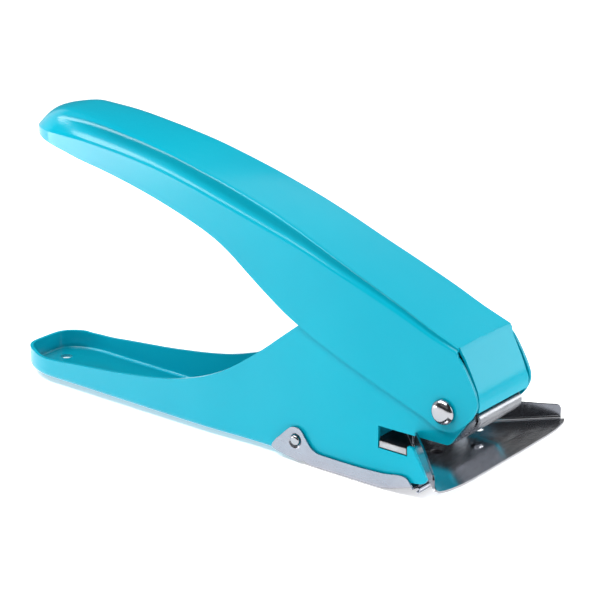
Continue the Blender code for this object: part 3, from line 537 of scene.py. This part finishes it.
def build_handle():
    xs = []
    x = FOLD_X
    while x > TAIL_XC + 0.5:
        xs.append(x)
        x -= 2.0 if x > -12 else 3.0
    xs.append(TAIL_XC)
    cols = []
    for x in xs:
        cols.append(handle_column((x, 0.0), (x, HANDLE_HALF), edge_z(x) if x <= -12 else 0.0))
    for k in range(1, 19):
        a = math.radians(5.0 * k)
        cols.append(handle_column((TAIL_XC - 8.0 * k / 18.0, 0.0),
                                  (TAIL_XC - TAIL_A * math.sin(a), HANDLE_HALF * math.cos(a)),
                                  edge_z(TAIL_XC - TAIL_A * math.sin(a))))
    m = len(cols[0])
    first_wall = next(i for i, x in enumerate(xs) if x <= -12.0)
    # the station where the plain wall starts shares its lower corner with the head's outline
    cols[first_wall][-1] = (xs[first_wall], HANDLE_HALF, edge_z(xs[first_wall]))
    verts, faces = [], []
    for s in (-1, 1):
        base = len(verts)
        for c in cols:
            verts += [(p[0], s * p[1], p[2]) for p in c]

        def add(q):
            faces.append(tuple(q) if s > 0 else tuple(reversed(q)))
        for i in range(len(cols) - 1):
            for j in range(m - 1):
                if j == m - 2 and i < first_wall:
                    continue
                a, b = base + i * m + j, base + (i + 1) * m + j
                add((a, a + 1, b + 1, b))
        # head wall: one flat face from the shoulder round the rivet boss
        edge = [p for p in HEAD_EDGE[:-1]]
        hb = len(verts)
        verts += [(p[0], s * HANDLE_HALF, p[1]) for p in edge]
        top = [base + i * m + (m - 2) for i in range(first_wall + 1)]
        low = [base + first_wall * m + (m - 1)]
        add(list(range(hb, hb + len(edge))) + low + list(reversed(top)))
        # flap, carrying on from the raised panel
        jf = 10
        fb = len(verts)
        rows = FLAP[1:]
        for p in rows:
            slit = 0.45 * sstep(21.0, 18.5, p[1]) * (1.0 - sstep(8.5, 5.5, p[1]))      # the flap draws in a little beside the head wall
            for j in range(jf + 1):
                yy = cols[0][j][1] - slit * (j / jf) ** 3
                verts.append((p[0], s * yy, p[1]))
        for k in range(len(rows)):
            for j in range(jf):
                if k == 0:
                    a0, a1 = base + j, base + j + 1
                else:
                    a0, a1 = fb + (k - 1) * (jf + 1) + j, fb + (k - 1) * (jf + 1) + j + 1
                b0, b1 = fb + k * (jf + 1) + j, fb + k * (jf + 1) + j + 1
                add((b0, b1, a1, a0))
    return sheet_solid(verts, faces, HANDLE_T)


v, f = build_handle()
make("handle_skin", v, f, m_handle, "handle", ["handle_upper"], bevel=0.22, seg=3, angle=55)

# ------------------------------------------------------------------ lower frame
FRAME_HALF, FRAME_T = 14.7, 1.2
FLOOR_Z = -32.2
RIM_PTS = smooth([(-197, -23.6), (-186.5, -23.6), (-182.5, -24.2), (-175, -24.3), (-165, -23.4), (-155, -22.5), (-145, -21.6),
                  (-135, -20.4), (-125, -19.0), (-115, -17.1), (-105, -14.2), (-97.8, -11.4), (-89.1, -6.9), (-76.3, 2.0), (-68, 8.6), (-59.9, 15.0)], 4)
rim_z = curve([RIM_PTS[i] for i in range(0, len(RIM_PTS))])
HEAD_TOP = smooth([(-59.9, 15.0), (-50, 17.4), (-40, 17.8), (-20, 15.6), (-8, 12.2), (0, 9.8), (5.2, 7.4), (8.2, 3.6), (8.8, 0.0), (7.5, -3.2)], 4)
NOSE = ([(2.4, -10.4), (1.9, -11.2), (0.8, -11.8), (-26.35, -12.1), (-26.35, -19.95), (-14.7, -19.95), (-14.7, -16.5)]
        + [(-12.9, -16.5), (-12.2, -17.2), (-11.5, -18.7), (-8.0, -24.0), (-7.1, -25.6), (-7.0, -26.6), (-7.7, -27.6), (-9.2, -28.3), (-12.5, -28.7), (-17, -30.0), (-57.5, -30.4)])


def tray_floor(x):
    return FLOOR_Z + 0.006 * max(0.0, -80.0 - x)


def build_frame():
    half, r = FRAME_HALF, 2.0
    cols = []

    def half_at(x):
        return FRAME_HALF + 1.2 * sstep(-77.0, -106.0, x)

    def column(xr, yr, sx):
        length = math.hypot(xr - sx, yr)
        ux, uy = (xr - sx) / length, yr / length
        rr = min(r, 0.6 * length)
        col = []
        for k in range(4):
            d = length + (rr - length) * k / 4
            col.append((xr - ux * d, yr - uy * d, tray_floor(xr)))
        for k in range(9):
            a = math.pi / 2 * k / 8
            d = rr * (1 - math.sin(a))
            col.append((xr - ux * d, yr - uy * d, tray_floor(xr) + rr * (1 - math.cos(a))))
        col.append((xr, yr, rim_z(xr)))
        return col
    x = -60.0
    while x > -172:
        cols.append(column(x, half_at(x), x))
        x -= 3.0
    plan = smooth([(-172.0, 15.9), (-178.0, 15.9), (-183.0, 15.0), (-188.0, 12.9), (-191.5, 10.2), (-193.2, 7.2), (-193.7, 3.6), (-193.7, 0.0)], 5)
    plan = resample(plan, 30)
    for i, (px, py) in enumerate(plan):
        cols.append(column(px, py, -172.0 - 12.0 * i / 29))
    m = len(cols[0])
    verts, faces = [], []
    for s in (-1, 1):
        base = len(verts)
        for c in cols:
            verts += [(p[0], s * p[1], p[2]) for p in c]

        def add(q):
            faces.append(tuple(reversed(q)) if s > 0 else tuple(q))
        for i in range(len(cols) - 1):
            for j in range(m - 1):
                a, b = base + i * m + j, base + (i + 1) * m + j
                add((a, a + 1, b + 1, b))
        hb = len(verts)
        loop = HEAD_TOP[1:] + NOSE
        verts += [(p[0], s * half, p[1]) for p in loop]
        add([base + m - 2, hb + len(loop) - 1] + [hb + k for k in reversed(range(len(loop) - 1))] + [base + m - 1])
    return sheet_solid(verts, faces, FRAME_T)


v, f = build_frame()
ob_frame = make("frame_skin", v, f, m_frame, "frame", ["frame_lower"], bevel=0.22, seg=3, angle=55)



def bore(ob, x, y, z0, z1, r, n=28):
    """Cut a round hole straight down through a piece, for good, under its edge bevel."""
    cv, cf = slab(circle(x, y, r, n), z0, z1, "Z")
    me = bpy.data.meshes.new("cutter")
    me.from_pydata([tuple((Vector(p) + STAND) * MM) for p in cv], [], cf)
    cutter = bpy.data.objects.new("cutter", me)
    bpy.context.scene.collection.objects.link(cutter)
    bm = bmesh.new()
    bm.from_mesh(me)
    bmesh.ops.recalc_face_normals(bm, faces=bm.faces)
    bm.to_mesh(me)
    bm.free()
    others = [(m, m.show_viewport) for m in ob.modifiers]
    for m, _ in others:
        m.show_viewport = False
    cut = ob.modifiers.new("bore", "BOOLEAN")
    cut.operation = "DIFFERENCE"
    cut.solver = "EXACT"
    cut.object = cutter
    bpy.context.view_layer.update()
    done = bpy.data.meshes.new_from_object(ob.evaluated_get(bpy.context.evaluated_depsgraph_get()))
    ob.modifiers.remove(cut)
    for m, shown in others:
        m.show_viewport = shown
    old = ob.data
    ob.data = done
    bpy.data.meshes.remove(old)
    bpy.data.objects.remove(cutter)
    for p in ob.data.polygons:
        p.use_smooth = True
    ob.data.set_sharp_from_angle(angle=math.radians(38))


bore(ob_frame, -184.6, 2.0, FLOOR_Z - 2.0, FLOOR_Z + 4.0, 2.2)

# ------------------------------------------------------------------ chip cover
COVER_HALF, COVER_T = 15.75, 0.7
COVER_PIVOT = (-60.3, -26.0)
cover_floor = curve([(-58, -33.5), (-52, -34.1), (-38, -34.1), (-27, -34.1), (-22, -33.4), (-17, -31.9), (-12, -30.7), (-10.6, -30.9)])
cover_top = curve([(-56.0, -24.0), (-54.0, -26.6), (-52.4, -27.8), (-50.3, -28.5), (-38.6, -28.6), (-24.2, -28.1), (-15.6, -26.9),
                   (-13.6, -27.6), (-12.3, -29.4), (-11.6, -30.3)])
EAR = smooth([(-58.2, -33.2), (-69.7, -31.2), (-68.8, -28.0), (-67.0, -26.2), (-63.4, -22.7), (-61.6, -21.5), (-59.4, -21.2),
              (-57.6, -22.0), (-56.0, -24.0)], 4)


def build_cover():
    from mathutils.geometry import tessellate_polygon
    half = COVER_HALF
    xs = [-56.0, -55.0, -54.0, -53.2, -52.4, -51.4, -50.3, -48, -44, -40, -36, -32, -28, -26, -24, -22, -20, -18, -16.6, -15.6, -14.6, -13.6,
          -13.0, -12.5, -12.0, -11.6]
    cols = []
    for x in xs:
        fz = cover_floor(x)
        top = max(cover_top(x), fz + 0.25)
        r = min(1.6, (top - fz) * 0.8)
        col = [(x, (half - 1.6) * k / 6, fz) for k in range(6)]
        for k in range(9):
            a = math.pi / 2 * k / 8
            col.append((x, half - 1.6 + 1.6 * math.sin(a), fz + r * (1 - math.cos(a))))
        col.append((x, half, top))
        cols.append(col)
    m = len(cols[0])
    verts, faces = [], []
    for s in (-1, 1):
        base = len(verts)
        for c in cols:
            verts += [(p[0], s * p[1], p[2]) for p in c]

        def add(q):
            faces.append(tuple(q) if s < 0 else tuple(reversed(q)))
        for i in range(len(cols) - 1):
            for j in range(m - 1):
                a, b = base + i * m + j, base + (i + 1) * m + j
                add((a, b, b + 1, a + 1))
        # floor carries on a little behind the first station
        rear = len(verts)
        verts += [(-58.2, s * p[1], cover_floor(-58.2)) for p in cols[0][:7]]
        for j in range(6):
            add((base + j, base + j + 1, rear + j + 1, rear + j))
        # ear: flat plate with a dimpled pivot hole
        outline = EAR[:-1] + [(-56.0, cover_top(-56.0)), (-56.0, cols[0][-2][2])]
        hole = circle(COVER_PIVOT[0], COVER_PIVOT[1], 3.1, 40)
        loops = [outline, hole]
        pts = outline + hole
        tri = tessellate_polygon([[Vector((p[0], p[1], 0.0)) for p in lp] for lp in loops])
        eb = len(verts)
        verts += [(p[0], s * half, p[1]) for p in pts]
        for t in tri:
            a, b, c = (pts[i] for i in t)
            area = (b[0] - a[0]) * (c[1] - a[1]) - (b[1] - a[1]) * (c[0] - a[0])
            q = [eb + i for i in (t if area > 0 else reversed(t))]      # counter-clockwise in x, z: normal is -Y
            faces.append(tuple(q) if s < 0 else tuple(reversed(q)))
        hb = eb + len(outline)
        rings = [(3.1, 0.0), (2.9, 0.04), (2.6, 0.22), (2.3, 0.42), (2.1, 0.5)]
        prev = [hb + k for k in range(40)]
        for r, depth in rings[1:]:
            cur = []
            for p in circle(COVER_PIVOT[0], COVER_PIVOT[1], r, 40):
                verts.append((p[0], s * (half - depth), p[1]))
                cur.append(len(verts) - 1)
            for k in range(40):
                k2 = (k + 1) % 40
                q = (prev[k], prev[k2], cur[k2], cur[k])
                faces.append(q if s < 0 else tuple(reversed(q)))
            prev = cur
    return sheet_solid(verts, faces, COVER_T)


v, f = build_cover()
make("cover_skin", v, f, m_cover, "cover", ["chip_cover"], bevel=0.14, seg=2, angle=55)


def rolled_lip():
    """The cover's front edge curled round into an open roll."""
    mid = (-10.4, -31.0)
    prof = []
    for k in range(19):
        a = math.radians(150 - 300 * k / 18)
        prof.append((mid[0] + 0.95 * math.cos(a), mid[1] + 0.95 * math.sin(a)))
    inner = []
    for k in range(19):
        a = math.radians(150 - 300 * k / 18)
        inner.append((mid[0] + 0.45 * math.cos(a), mid[1] + 0.45 * math.sin(a)))
    return slab(prof + list(reversed(inner)), -14.4, 14.4)


v, f = merge(rolled_lip(), slab([(-13.4, -30.55), (-11.0, -30.5), (-11.0, -30.95), (-13.4, -31.05)], -12.3, 12.3))
make("cover_roll", v, f, m_cover, "cover", [], bevel=0.08, seg=2)

for s, tag in ((-1, "near"), (1, "far")):
    prof = [(0, s * 12.9), (1.9, s * 12.9), (1.9, s * 13.2), (1.0, s * 13.2), (1.0, s * 15.0), (1.55, s * 15.0), (1.75, s * 15.15), (1.8, s * 15.6),
            (1.72, s * 15.85), (1.5, s * 16.05), (1.1, s * 16.18), (0.6, s * 16.24), (0, s * 16.25)]
    v, f = turned(prof, COVER_PIVOT, "Y", 40)
    make("cover_stud_skin_" + tag, v, f, m_rivet, "frame", ["cover_stud_" + tag])

# ------------------------------------------------------------------ pivot rivet
dome = [(4.05, 16.3), (4.25, 16.42), (4.28, 16.7), (4.18, 17.05), (3.9, 17.45), (3.45, 17.85), (2.85, 18.18), (2.1, 18.4), (1.3, 18.53), (0.6, 18.59), (0, 18.6)]
v, f = turned([(r, -h) for r, h in reversed(dome)] + [(2.5, -16.3), (2.5, 16.3)] + dome, (0.0, 0.0), "Y", 64)
make("pivot_rivet_skin", v, f, m_rivet, "frame", ["pivot_rivet"])

# ------------------------------------------------------------------ guide table
TABLE_Z, TABLE_T = -16.4, 0.7
RIVET_X, RIVET_Y = -15.6, 6.2


def build_table():
    from mathutils.geometry import tessellate_polygon
    rb = 0.9                                    # inside bend radius of the fences
    ux = uy = math.sqrt(0.5)                    # along the near fence, forwards and outwards
    nx, ny = -math.sqrt(0.5), math.sqrt(0.5)    # outwards across the fence
    a, b = (-11.4, 15.3), (11.0, 37.7)
    length = math.dist(a, b)
    # inner face of the fence lies TABLE_T inside the outer line a-b
    stations = [0.0, 0.25, 0.6, 1.2, 2.2] + [2.2 + (length - 4.6) * k / 10 for k in range(1, 11)] + [length - 1.5, length - 0.8, length - 0.35, length - 0.1, length]
    prof = [(-(TABLE_T + rb) + rb * math.sin(t), rb * (1 - math.cos(t))) for t in [math.pi / 2 * k / 6 for k in range(7)]]

    def top(s):
        z = -10.1 - 1.6 * sstep(0.5 * length, 1.02 * length, s) ** 0.8
        for e, rad in ((s, 0.8), (length - s, 1.6)):
            if e < rad:
                z -= rad - math.sqrt(max(0.0, rad * rad - (rad - e) ** 2))
        return z
    verts, faces = [], []
    front = smooth([(10.9, 38.4), (12.6, 37.4), (14.1, 34.9), (15.1, 30.6), (15.7, 25.0), (15.9, 15.0)], 6)
    outline = []
    strips = []
    for s in (1, -1):
        rows = []
        for st in stations:
            px, py = a[0] + ux * st, a[1] + uy * st
            row = [(px + nx * u, py + ny * u, TABLE_Z + h) for u, h in prof]
            zt = top(st)
            for k in (1, 2, 3):
                row.append((px + nx * -TABLE_T, py + ny * -TABLE_T, TABLE_Z + rb + (zt - TABLE_Z - rb) * k / 3))
            rows.append(row)
        strips.append((s, rows))
    near = [(r[0][0], r[0][1]) for r in strips[0][1]]
    half = [(-26.4, 0.0), (-26.4, 0.4), (-13.8, 13.0), (-12.4, 13.0), (-12.1, 13.3), (-12.1, 13.9)] + near
    c0 = near[-1]
    half += [p for p in front if p[0] > c0[0] + 0.5 and p[1] < 38.3]
    outline = [(x, -y) for x, y in half[1:]] + [(15.95, 0.0)] + list(reversed(half[1:]))
    holes = [circle(-20.5, 0, 2.9, 32), circle(-5.0, -11.8, 2.1, 32), circle(-5.0, 11.8, 2.1, 32),
             circle(RIVET_X, -RIVET_Y, 2.4, 24), circle(RIVET_X, RIVET_Y, 2.4, 24), circle(2.4, 0.0, 2.3, 32)]
    loops = [outline] + holes
    pts = [p for lp in loops for p in lp]
    tri = tessellate_polygon([[Vector((p[0], p[1], 0.0)) for p in lp] for lp in loops])
    verts += [(p[0], p[1], TABLE_Z) for p in pts]
    for t in tri:
        p, q, r = (pts[i] for i in t)
        area = (q[0] - p[0]) * (r[1] - p[1]) - (q[1] - p[1]) * (r[0] - p[0])
        faces.append(tuple(t) if area > 0 else tuple(reversed(t)))
    # embossed bead
    prev = [len(pts) - 32 + k for k in range(32)]
    for r, h in ((2.2, 0.1), (2.05, 0.35), (1.8, 0.58), (1.4, 0.72), (0.9, 0.78)):
        cur = []
        for p in circle(2.4, 0.0, r, 32):
            verts.append((p[0], p[1], TABLE_Z + h))
            cur.append(len(verts) - 1)
        for k in range(32):
            faces.append((prev[k], prev[(k + 1) % 32], cur[(k + 1) % 32], cur[k]))
        prev = cur
    faces.append(tuple(prev))
    for s, rows in strips:
        base = len(verts)
        m = len(rows[0])
        for row in rows:
            verts += [(p[0], s * p[1], p[2]) for p in row]
        for i in range(len(rows) - 1):
            for j in range(m - 1):
                q = (base + i * m + j, base + (i + 1) * m + j, base + (i + 1) * m + j + 1, base + i * m + j + 1)
                faces.append(q if s > 0 else tuple(reversed(q)))
    # every face of the skin must look up or in: fix by rule, since the strips and the plate are made apart
    return verts, faces


def orient(verts, faces, want):
    out = []
    for f in faces:
        p = [Vector(verts[i]) for i in f[:4]]
        n = (p[1] - p[0]).cross(p[2] - p[0]) if len(p) < 4 else (p[2] - p[0]).cross(p[3] - p[1])
        c = sum(p, Vector()) / len(p)
        out.append(tuple(f) if n.dot(want(c)) >= 0 else tuple(reversed(f)))
    return out


tv, tf = build_table()
tf = orient(tv, tf, lambda c: Vector((0.6, -0.6 if c.y > 0 else 0.6, 1.0)))
tv, tf = sheet_solid(tv, tf, TABLE_T)
inner = []
for s in (-1, 1):
    a, b = (-25.4, 1.3), (-14.2, 12.5)
    w = TABLE_T * math.sqrt(0.5)
    pts = []
    for (x, y) in (a, b):
        pts += [(x, s * y, TABLE_Z - 0.05), (x + w, s * (y - w), TABLE_Z - 0.05), (x + w, s * (y - w), -13.2), (x, s * y, -13.2)]
    inner.append((pts, [(0, 1, 2, 3), (4, 7, 6, 5), (0, 4, 5, 1), (1, 5, 6, 2), (2, 6, 7, 3), (3, 7, 4, 0)]))
table = make("table_skin", tv, tf, m_table, "frame", ["guide_table"], bevel=0.12, seg=2, angle=55)
table.data.materials.append(m_edge)
for p in table.data.polygons:              # the sheared outline of the sheet is duller than its faces
    if abs(p.normal.z) < 0.3 and p.center.z < (STAND.z + TABLE_Z + 0.02) * MM:
        p.material_index = 1
for k, (v, f) in enumerate(inner):
    make("table_inner_fence_%d" % k, v, f, m_table, "frame", [], bevel=0.1)

# a dark disc with a small boss sits under the near hole of the table only; the far hole has none
v, f = turned([(0, -17.08), (2.06, -17.08), (2.06, -16.86), (1.1, -16.86), (0.9, -16.72), (0, -16.7)], (-5.0, -11.8), "Z", 32)
make("near_hole_dark_disc", v, f, m_black, "frame", [], bevel=0.04, seg=2)

# ------------------------------------------------------------------ die plate with its sheared lugs
die_plan = [(-27.6, -12.9), (-26.0, -12.9), (-26.0, -14.55), (-15.0, -14.55), (-15.0, -12.9), (-13.4, -12.9),
            (-13.4, 12.9), (-15.0, 12.9), (-15.0, 14.55), (-26.0, 14.55), (-26.0, 12.9), (-27.6, 12.9)]
v, f = slab_hole(die_plan, [circle(-20.5, 0, 4.8, 40), circle(RIVET_X, -RIVET_Y, 1.75, 24), circle(RIVET_X, RIVET_Y, 1.75, 24)], -19.65, -17.25, "Z")
make("die_plate_skin", v, f, m_black, "frame", ["die_plate"], bevel=0.15, seg=2)


def sheared_face(s):
    """Rough sheared end of a lug: a rolled-over band above a torn one."""
    nx, nz = 64, 16
    x0, x1, z0, z1 = -25.9, -15.1, -19.55, -17.35
    verts, faces = [], []
    for layer in (0, 1):
        for j in range(nz + 1):
            for i in range(nx + 1):
                fx, fz = i / nx, j / nz
                x, z = x0 + (x1 - x0) * fx, z0 + (z1 - z0) * fz
                rim = min(fx, 1 - fx, (fz) * 0.25, (1 - fz) * 0.25) * 40
                d = 0.15 * min(1.0, rim)
                h = (math.sin(x * 5.1 + 1.7 * math.sin(z * 6.3)) * math.cos(z * 7.7 + 2.0 * math.sin(x * 2.9))
                     + 0.6 * math.sin(x * 13.3 + z * 4.4) * math.sin(z * 15.1 - x * 3.0))
                torn = 1.0 if fz < 0.62 + 0.12 * math.sin(x * 3.7) else 0.3
                y = 14.5 + (d + 0.07 * torn * h * min(1.0, rim) if layer == 0 else -0.4)
                verts.append((x, s * y, z))
    n = (nx + 1) * (nz + 1)
    for j in range(nz):
        for i in range(nx):
            a = j * (nx + 1) + i
            q = (a, a + 1, a + nx + 2, a + nx + 1)
            faces.append(q)
            faces.append(tuple(reversed([k + n for k in q])))
    border = ([i for i in range(nx + 1)] + [(nx + 1) * j + nx for j in range(1, nz + 1)]
              + [nz * (nx + 1) + i for i in reversed(range(nx))] + [(nx + 1) * j for j in reversed(range(1, nz))])
    for k in range(len(border)):
        a, b = border[k], border[(k + 1) % len(border)]
        faces.append((b, a, a + n, b + n))
    return verts, faces


for s, tag in ((-1, "near"), (1, "far")):
    v, f = sheared_face(s)
    make("die_lug_" + tag, v, f, m_sheared, "frame", [], sharp=60)

# ------------------------------------------------------------------ guide bracket behind the flap
GUIDE_HALF, GUIDE_T = 13.15, 1.0
PUNCH_X = -20.5
lip_mid = smooth([(-29.9, -11.5), (-8.0, -11.5), (0.4, -11.5), (1.7, -11.2), (5.2, -8.3), (8.8, -5.3), (10.4, -3.5), (10.95, -1.85), (10.5, -0.6), (9.6, 0.1)], 5)


def offset_strip(mid, half_t):
    left, right = [], []
    for i, p in enumerate(mid):
        a = mid[max(i - 1, 0)]
        b = mid[min(i + 1, len(mid) - 1)]
        d = math.dist(a, b) or 1.0
        nx, nz = -(b[1] - a[1]) / d, (b[0] - a[0]) / d
        left.append((p[0] + nx * half_t, p[1] + nz * half_t))
        right.append((p[0] - nx * half_t, p[1] - nz * half_t))
    return left + list(reversed(right))


v1, f1 = slab(offset_strip(lip_mid, 0.5), -12.1, 12.1)
make("guide_lip", v1, f1, m_bracket, "frame", ["guide_bracket"], bevel=0.25, seg=3)
cheek = fillet([(-31.0, -11.95), (0.4, -11.95), (1.6, -11.4), (8.6, -5.2), (9.9, -3.4), (10.2, -1.4), (8.8, 1.8), (5.6, 6.4), (-2.0, 8.2),
                (-30.0, 14.0), (-40.0, 14.6), (-44.2, 12.6), (-44.4, 8.6), (-38.0, -2.0)], [1.0] * 14, 3, closed=True)
slot = ([(PUNCH_X + 2.35 * math.cos(a), 3.15 + 2.35 * math.sin(a)) for a in [math.pi * k / 10 for k in range(11)]]
        + [(PUNCH_X + 2.35 * math.cos(a), -3.3 + 2.35 * math.sin(a)) for a in [math.pi + math.pi * k / 10 for k in range(11)]])
for s in (-1, 1):
    lo, hi = sorted((s * GUIDE_HALF, s * (GUIDE_HALF - GUIDE_T)))
    v, f = slab_hole(cheek, [slot, circle(0, 0, 2.8, 32), circle(-40.0, 10.8, 2.3, 24)], lo, hi)
    make("guide_cheek_%d" % (s > 0), v, f, m_bracket, "frame", [], bevel=0.15, seg=2)

# ------------------------------------------------------------------ inner works keep their CAD shape
inner_finish = {
    "press_bracket": (m_pressed, 0.2), "drive_pin": (m_ground, 0.0), "guide_cross_pin": (m_ground, 0.0), "guide_bush": (m_ground, 0.08),
    "pivot_spacer": (m_pressed, 0.1), "die_insert": (m_tool, 0.08), "table_rivet_near": (m_ground, 0.0), "table_rivet_far": (m_ground, 0.0),
    "punch": (m_tool, 0.15), "spring_seat": (m_pressed, 0.06),
}
for name, (mat, width) in inner_finish.items():
    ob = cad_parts[name]
    ob.data.materials.clear()
    ob.data.materials.append(mat)
    if width > 0:
        b = ob.modifiers.new("edge", "BEVEL")
        b.width = width * MM
        b.segments = 2
        b.limit_method = "ANGLE"
        b.angle_limit = math.radians(50)

# return spring round the punch, between its seat and the bracket, which squeeze it as the handle closes; it is drawn
# here at rest only
WIRE, COIL_R, SPRING_LOW, SPRING_HIGH, TURNS = 0.5, 4.35, -9.4, -1.0, 4.0
v, f = [], []
steps, ring = 144, 12
for i in range(steps + 1):
    t = i / steps
    a = 2 * math.pi * TURNS * t
    z = SPRING_LOW + (SPRING_HIGH - SPRING_LOW) * min(1.0, max(0.0, (t - 0.10) / 0.80))
    for k in range(ring):
        b = 2 * math.pi * k / ring
        rr = COIL_R + WIRE * math.cos(b)
        v.append((PUNCH_X + rr * math.cos(a), rr * math.sin(a), z + WIRE * math.sin(b)))
for i in range(steps):
    for k in range(ring):
        k2 = (k + 1) % ring
        f.append((i * ring + k, i * ring + k2, (i + 1) * ring + k2, (i + 1) * ring + k))
f.append(tuple(range(ring)))
f.append(tuple(steps * ring + k for k in range(ring)))
coil = make("return_spring_coil", v, f, m_spring, "frame", ["return_spring"], bevel=0.0)
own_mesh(coil)

# ------------------------------------------------------------------ floor and light
fm, fnt, fb = new_mat("studio_floor", (0.93, 0.93, 0.93), 0.85, 0.0, 0.1)
fco = node(fnt, "ShaderNodeTexCoord").outputs["Object"]
fb.inputs["Emission Color"].default_value = (1, 1, 1, 1)
fb.inputs["Emission Strength"].default_value = 0.42
fnt.links.new(ramp(fnt, noise(fnt, fco, 3.0, 2.0), [(0.3, (0.925, 0.925, 0.925)), (0.7, (0.935, 0.935, 0.935))]), fb.inputs["Base Color"])
bm = bmesh.new()
N = 24
ring0 = None
for r in (0.0, 0.2, 0.5, 1.2, 3.0, 6.0):
    if r == 0:
        ring1 = [bm.verts.new((0, 0, 0))]
    else:
        ring1 = [bm.verts.new((r * math.cos(2 * math.pi * k / N), r * math.sin(2 * math.pi * k / N), 0)) for k in range(N)]
    if ring0:
        for k in range(N):
            if len(ring0) == 1:
                bm.faces.new((ring0[0], ring1[k], ring1[(k + 1) % N]))
            else:
                bm.faces.new((ring0[k], ring1[k], ring1[(k + 1) % N], ring0[(k + 1) % N]))
    ring0 = ring1
me = bpy.data.meshes.new("floor")
bm.to_mesh(me)
bm.free()
me.materials.append(fm)
floor = bpy.data.objects.new("floor", me)
bpy.context.scene.collection.objects.link(floor)


def area(name, loc, target, size, power, colour=(1, 1, 1)):
    d = bpy.data.lights.new(name, "AREA")
    d.shape = "RECTANGLE"
    d.size, d.size_y = size
    d.energy = power
    d.color = colour
    o = bpy.data.objects.new(name, d)
    bpy.context.scene.collection.objects.link(o)
    o.visible_camera = False
    o.location = loc
    o.rotation_euler = (Vector(target) - Vector(loc)).to_track_quat("-Z", "Y").to_euler()
    return o


area("key", (-0.62, -0.34, 0.86), (-0.02, 0.0, 0.06), (0.42, 0.50), 5.6)
area("shoulder", (-0.08, -0.44, 0.86), (0, 0, 0.06), (0.62, 0.34), 6.0)
area("over", (0.05, 0.12, 1.1), (0.0, 0.0, 0.05), (0.8, 0.8), 1.2)
area("backtop", (0.10, 0.75, 0.85), (0.0, 0.0, 0.03), (1.2, 0.7), 2.6)
area("lefttail", (-0.30, -0.22, 0.03), (-0.06, 0.0, 0.07), (0.22, 0.06), 0.24)
area("front30", (0.0, -0.8, 0.55), (0.0, 0.0, 0.04), (0.9, 0.5), 0.25)
area("rightback", (0.75, 0.85, 0.28), (0.08, 0.0, 0.05), (0.6, 0.4), 3.6)
area("right", (0.95, 0.20, 0.40), (0.08, 0.0, 0.04), (0.6, 0.7), 4.6)
area("left", (-1.0, 0.0, 0.45), (0.0, 0.0, 0.04), (1.1, 0.8), 2.1)
world = bpy.data.worlds.new("studio")
bpy.context.scene.world = world
world.use_nodes = True
bg = world.node_tree.nodes["Background"]
bg.inputs["Color"].default_value = (1, 1, 1, 1)
bg.inputs["Strength"].default_value = 0.05
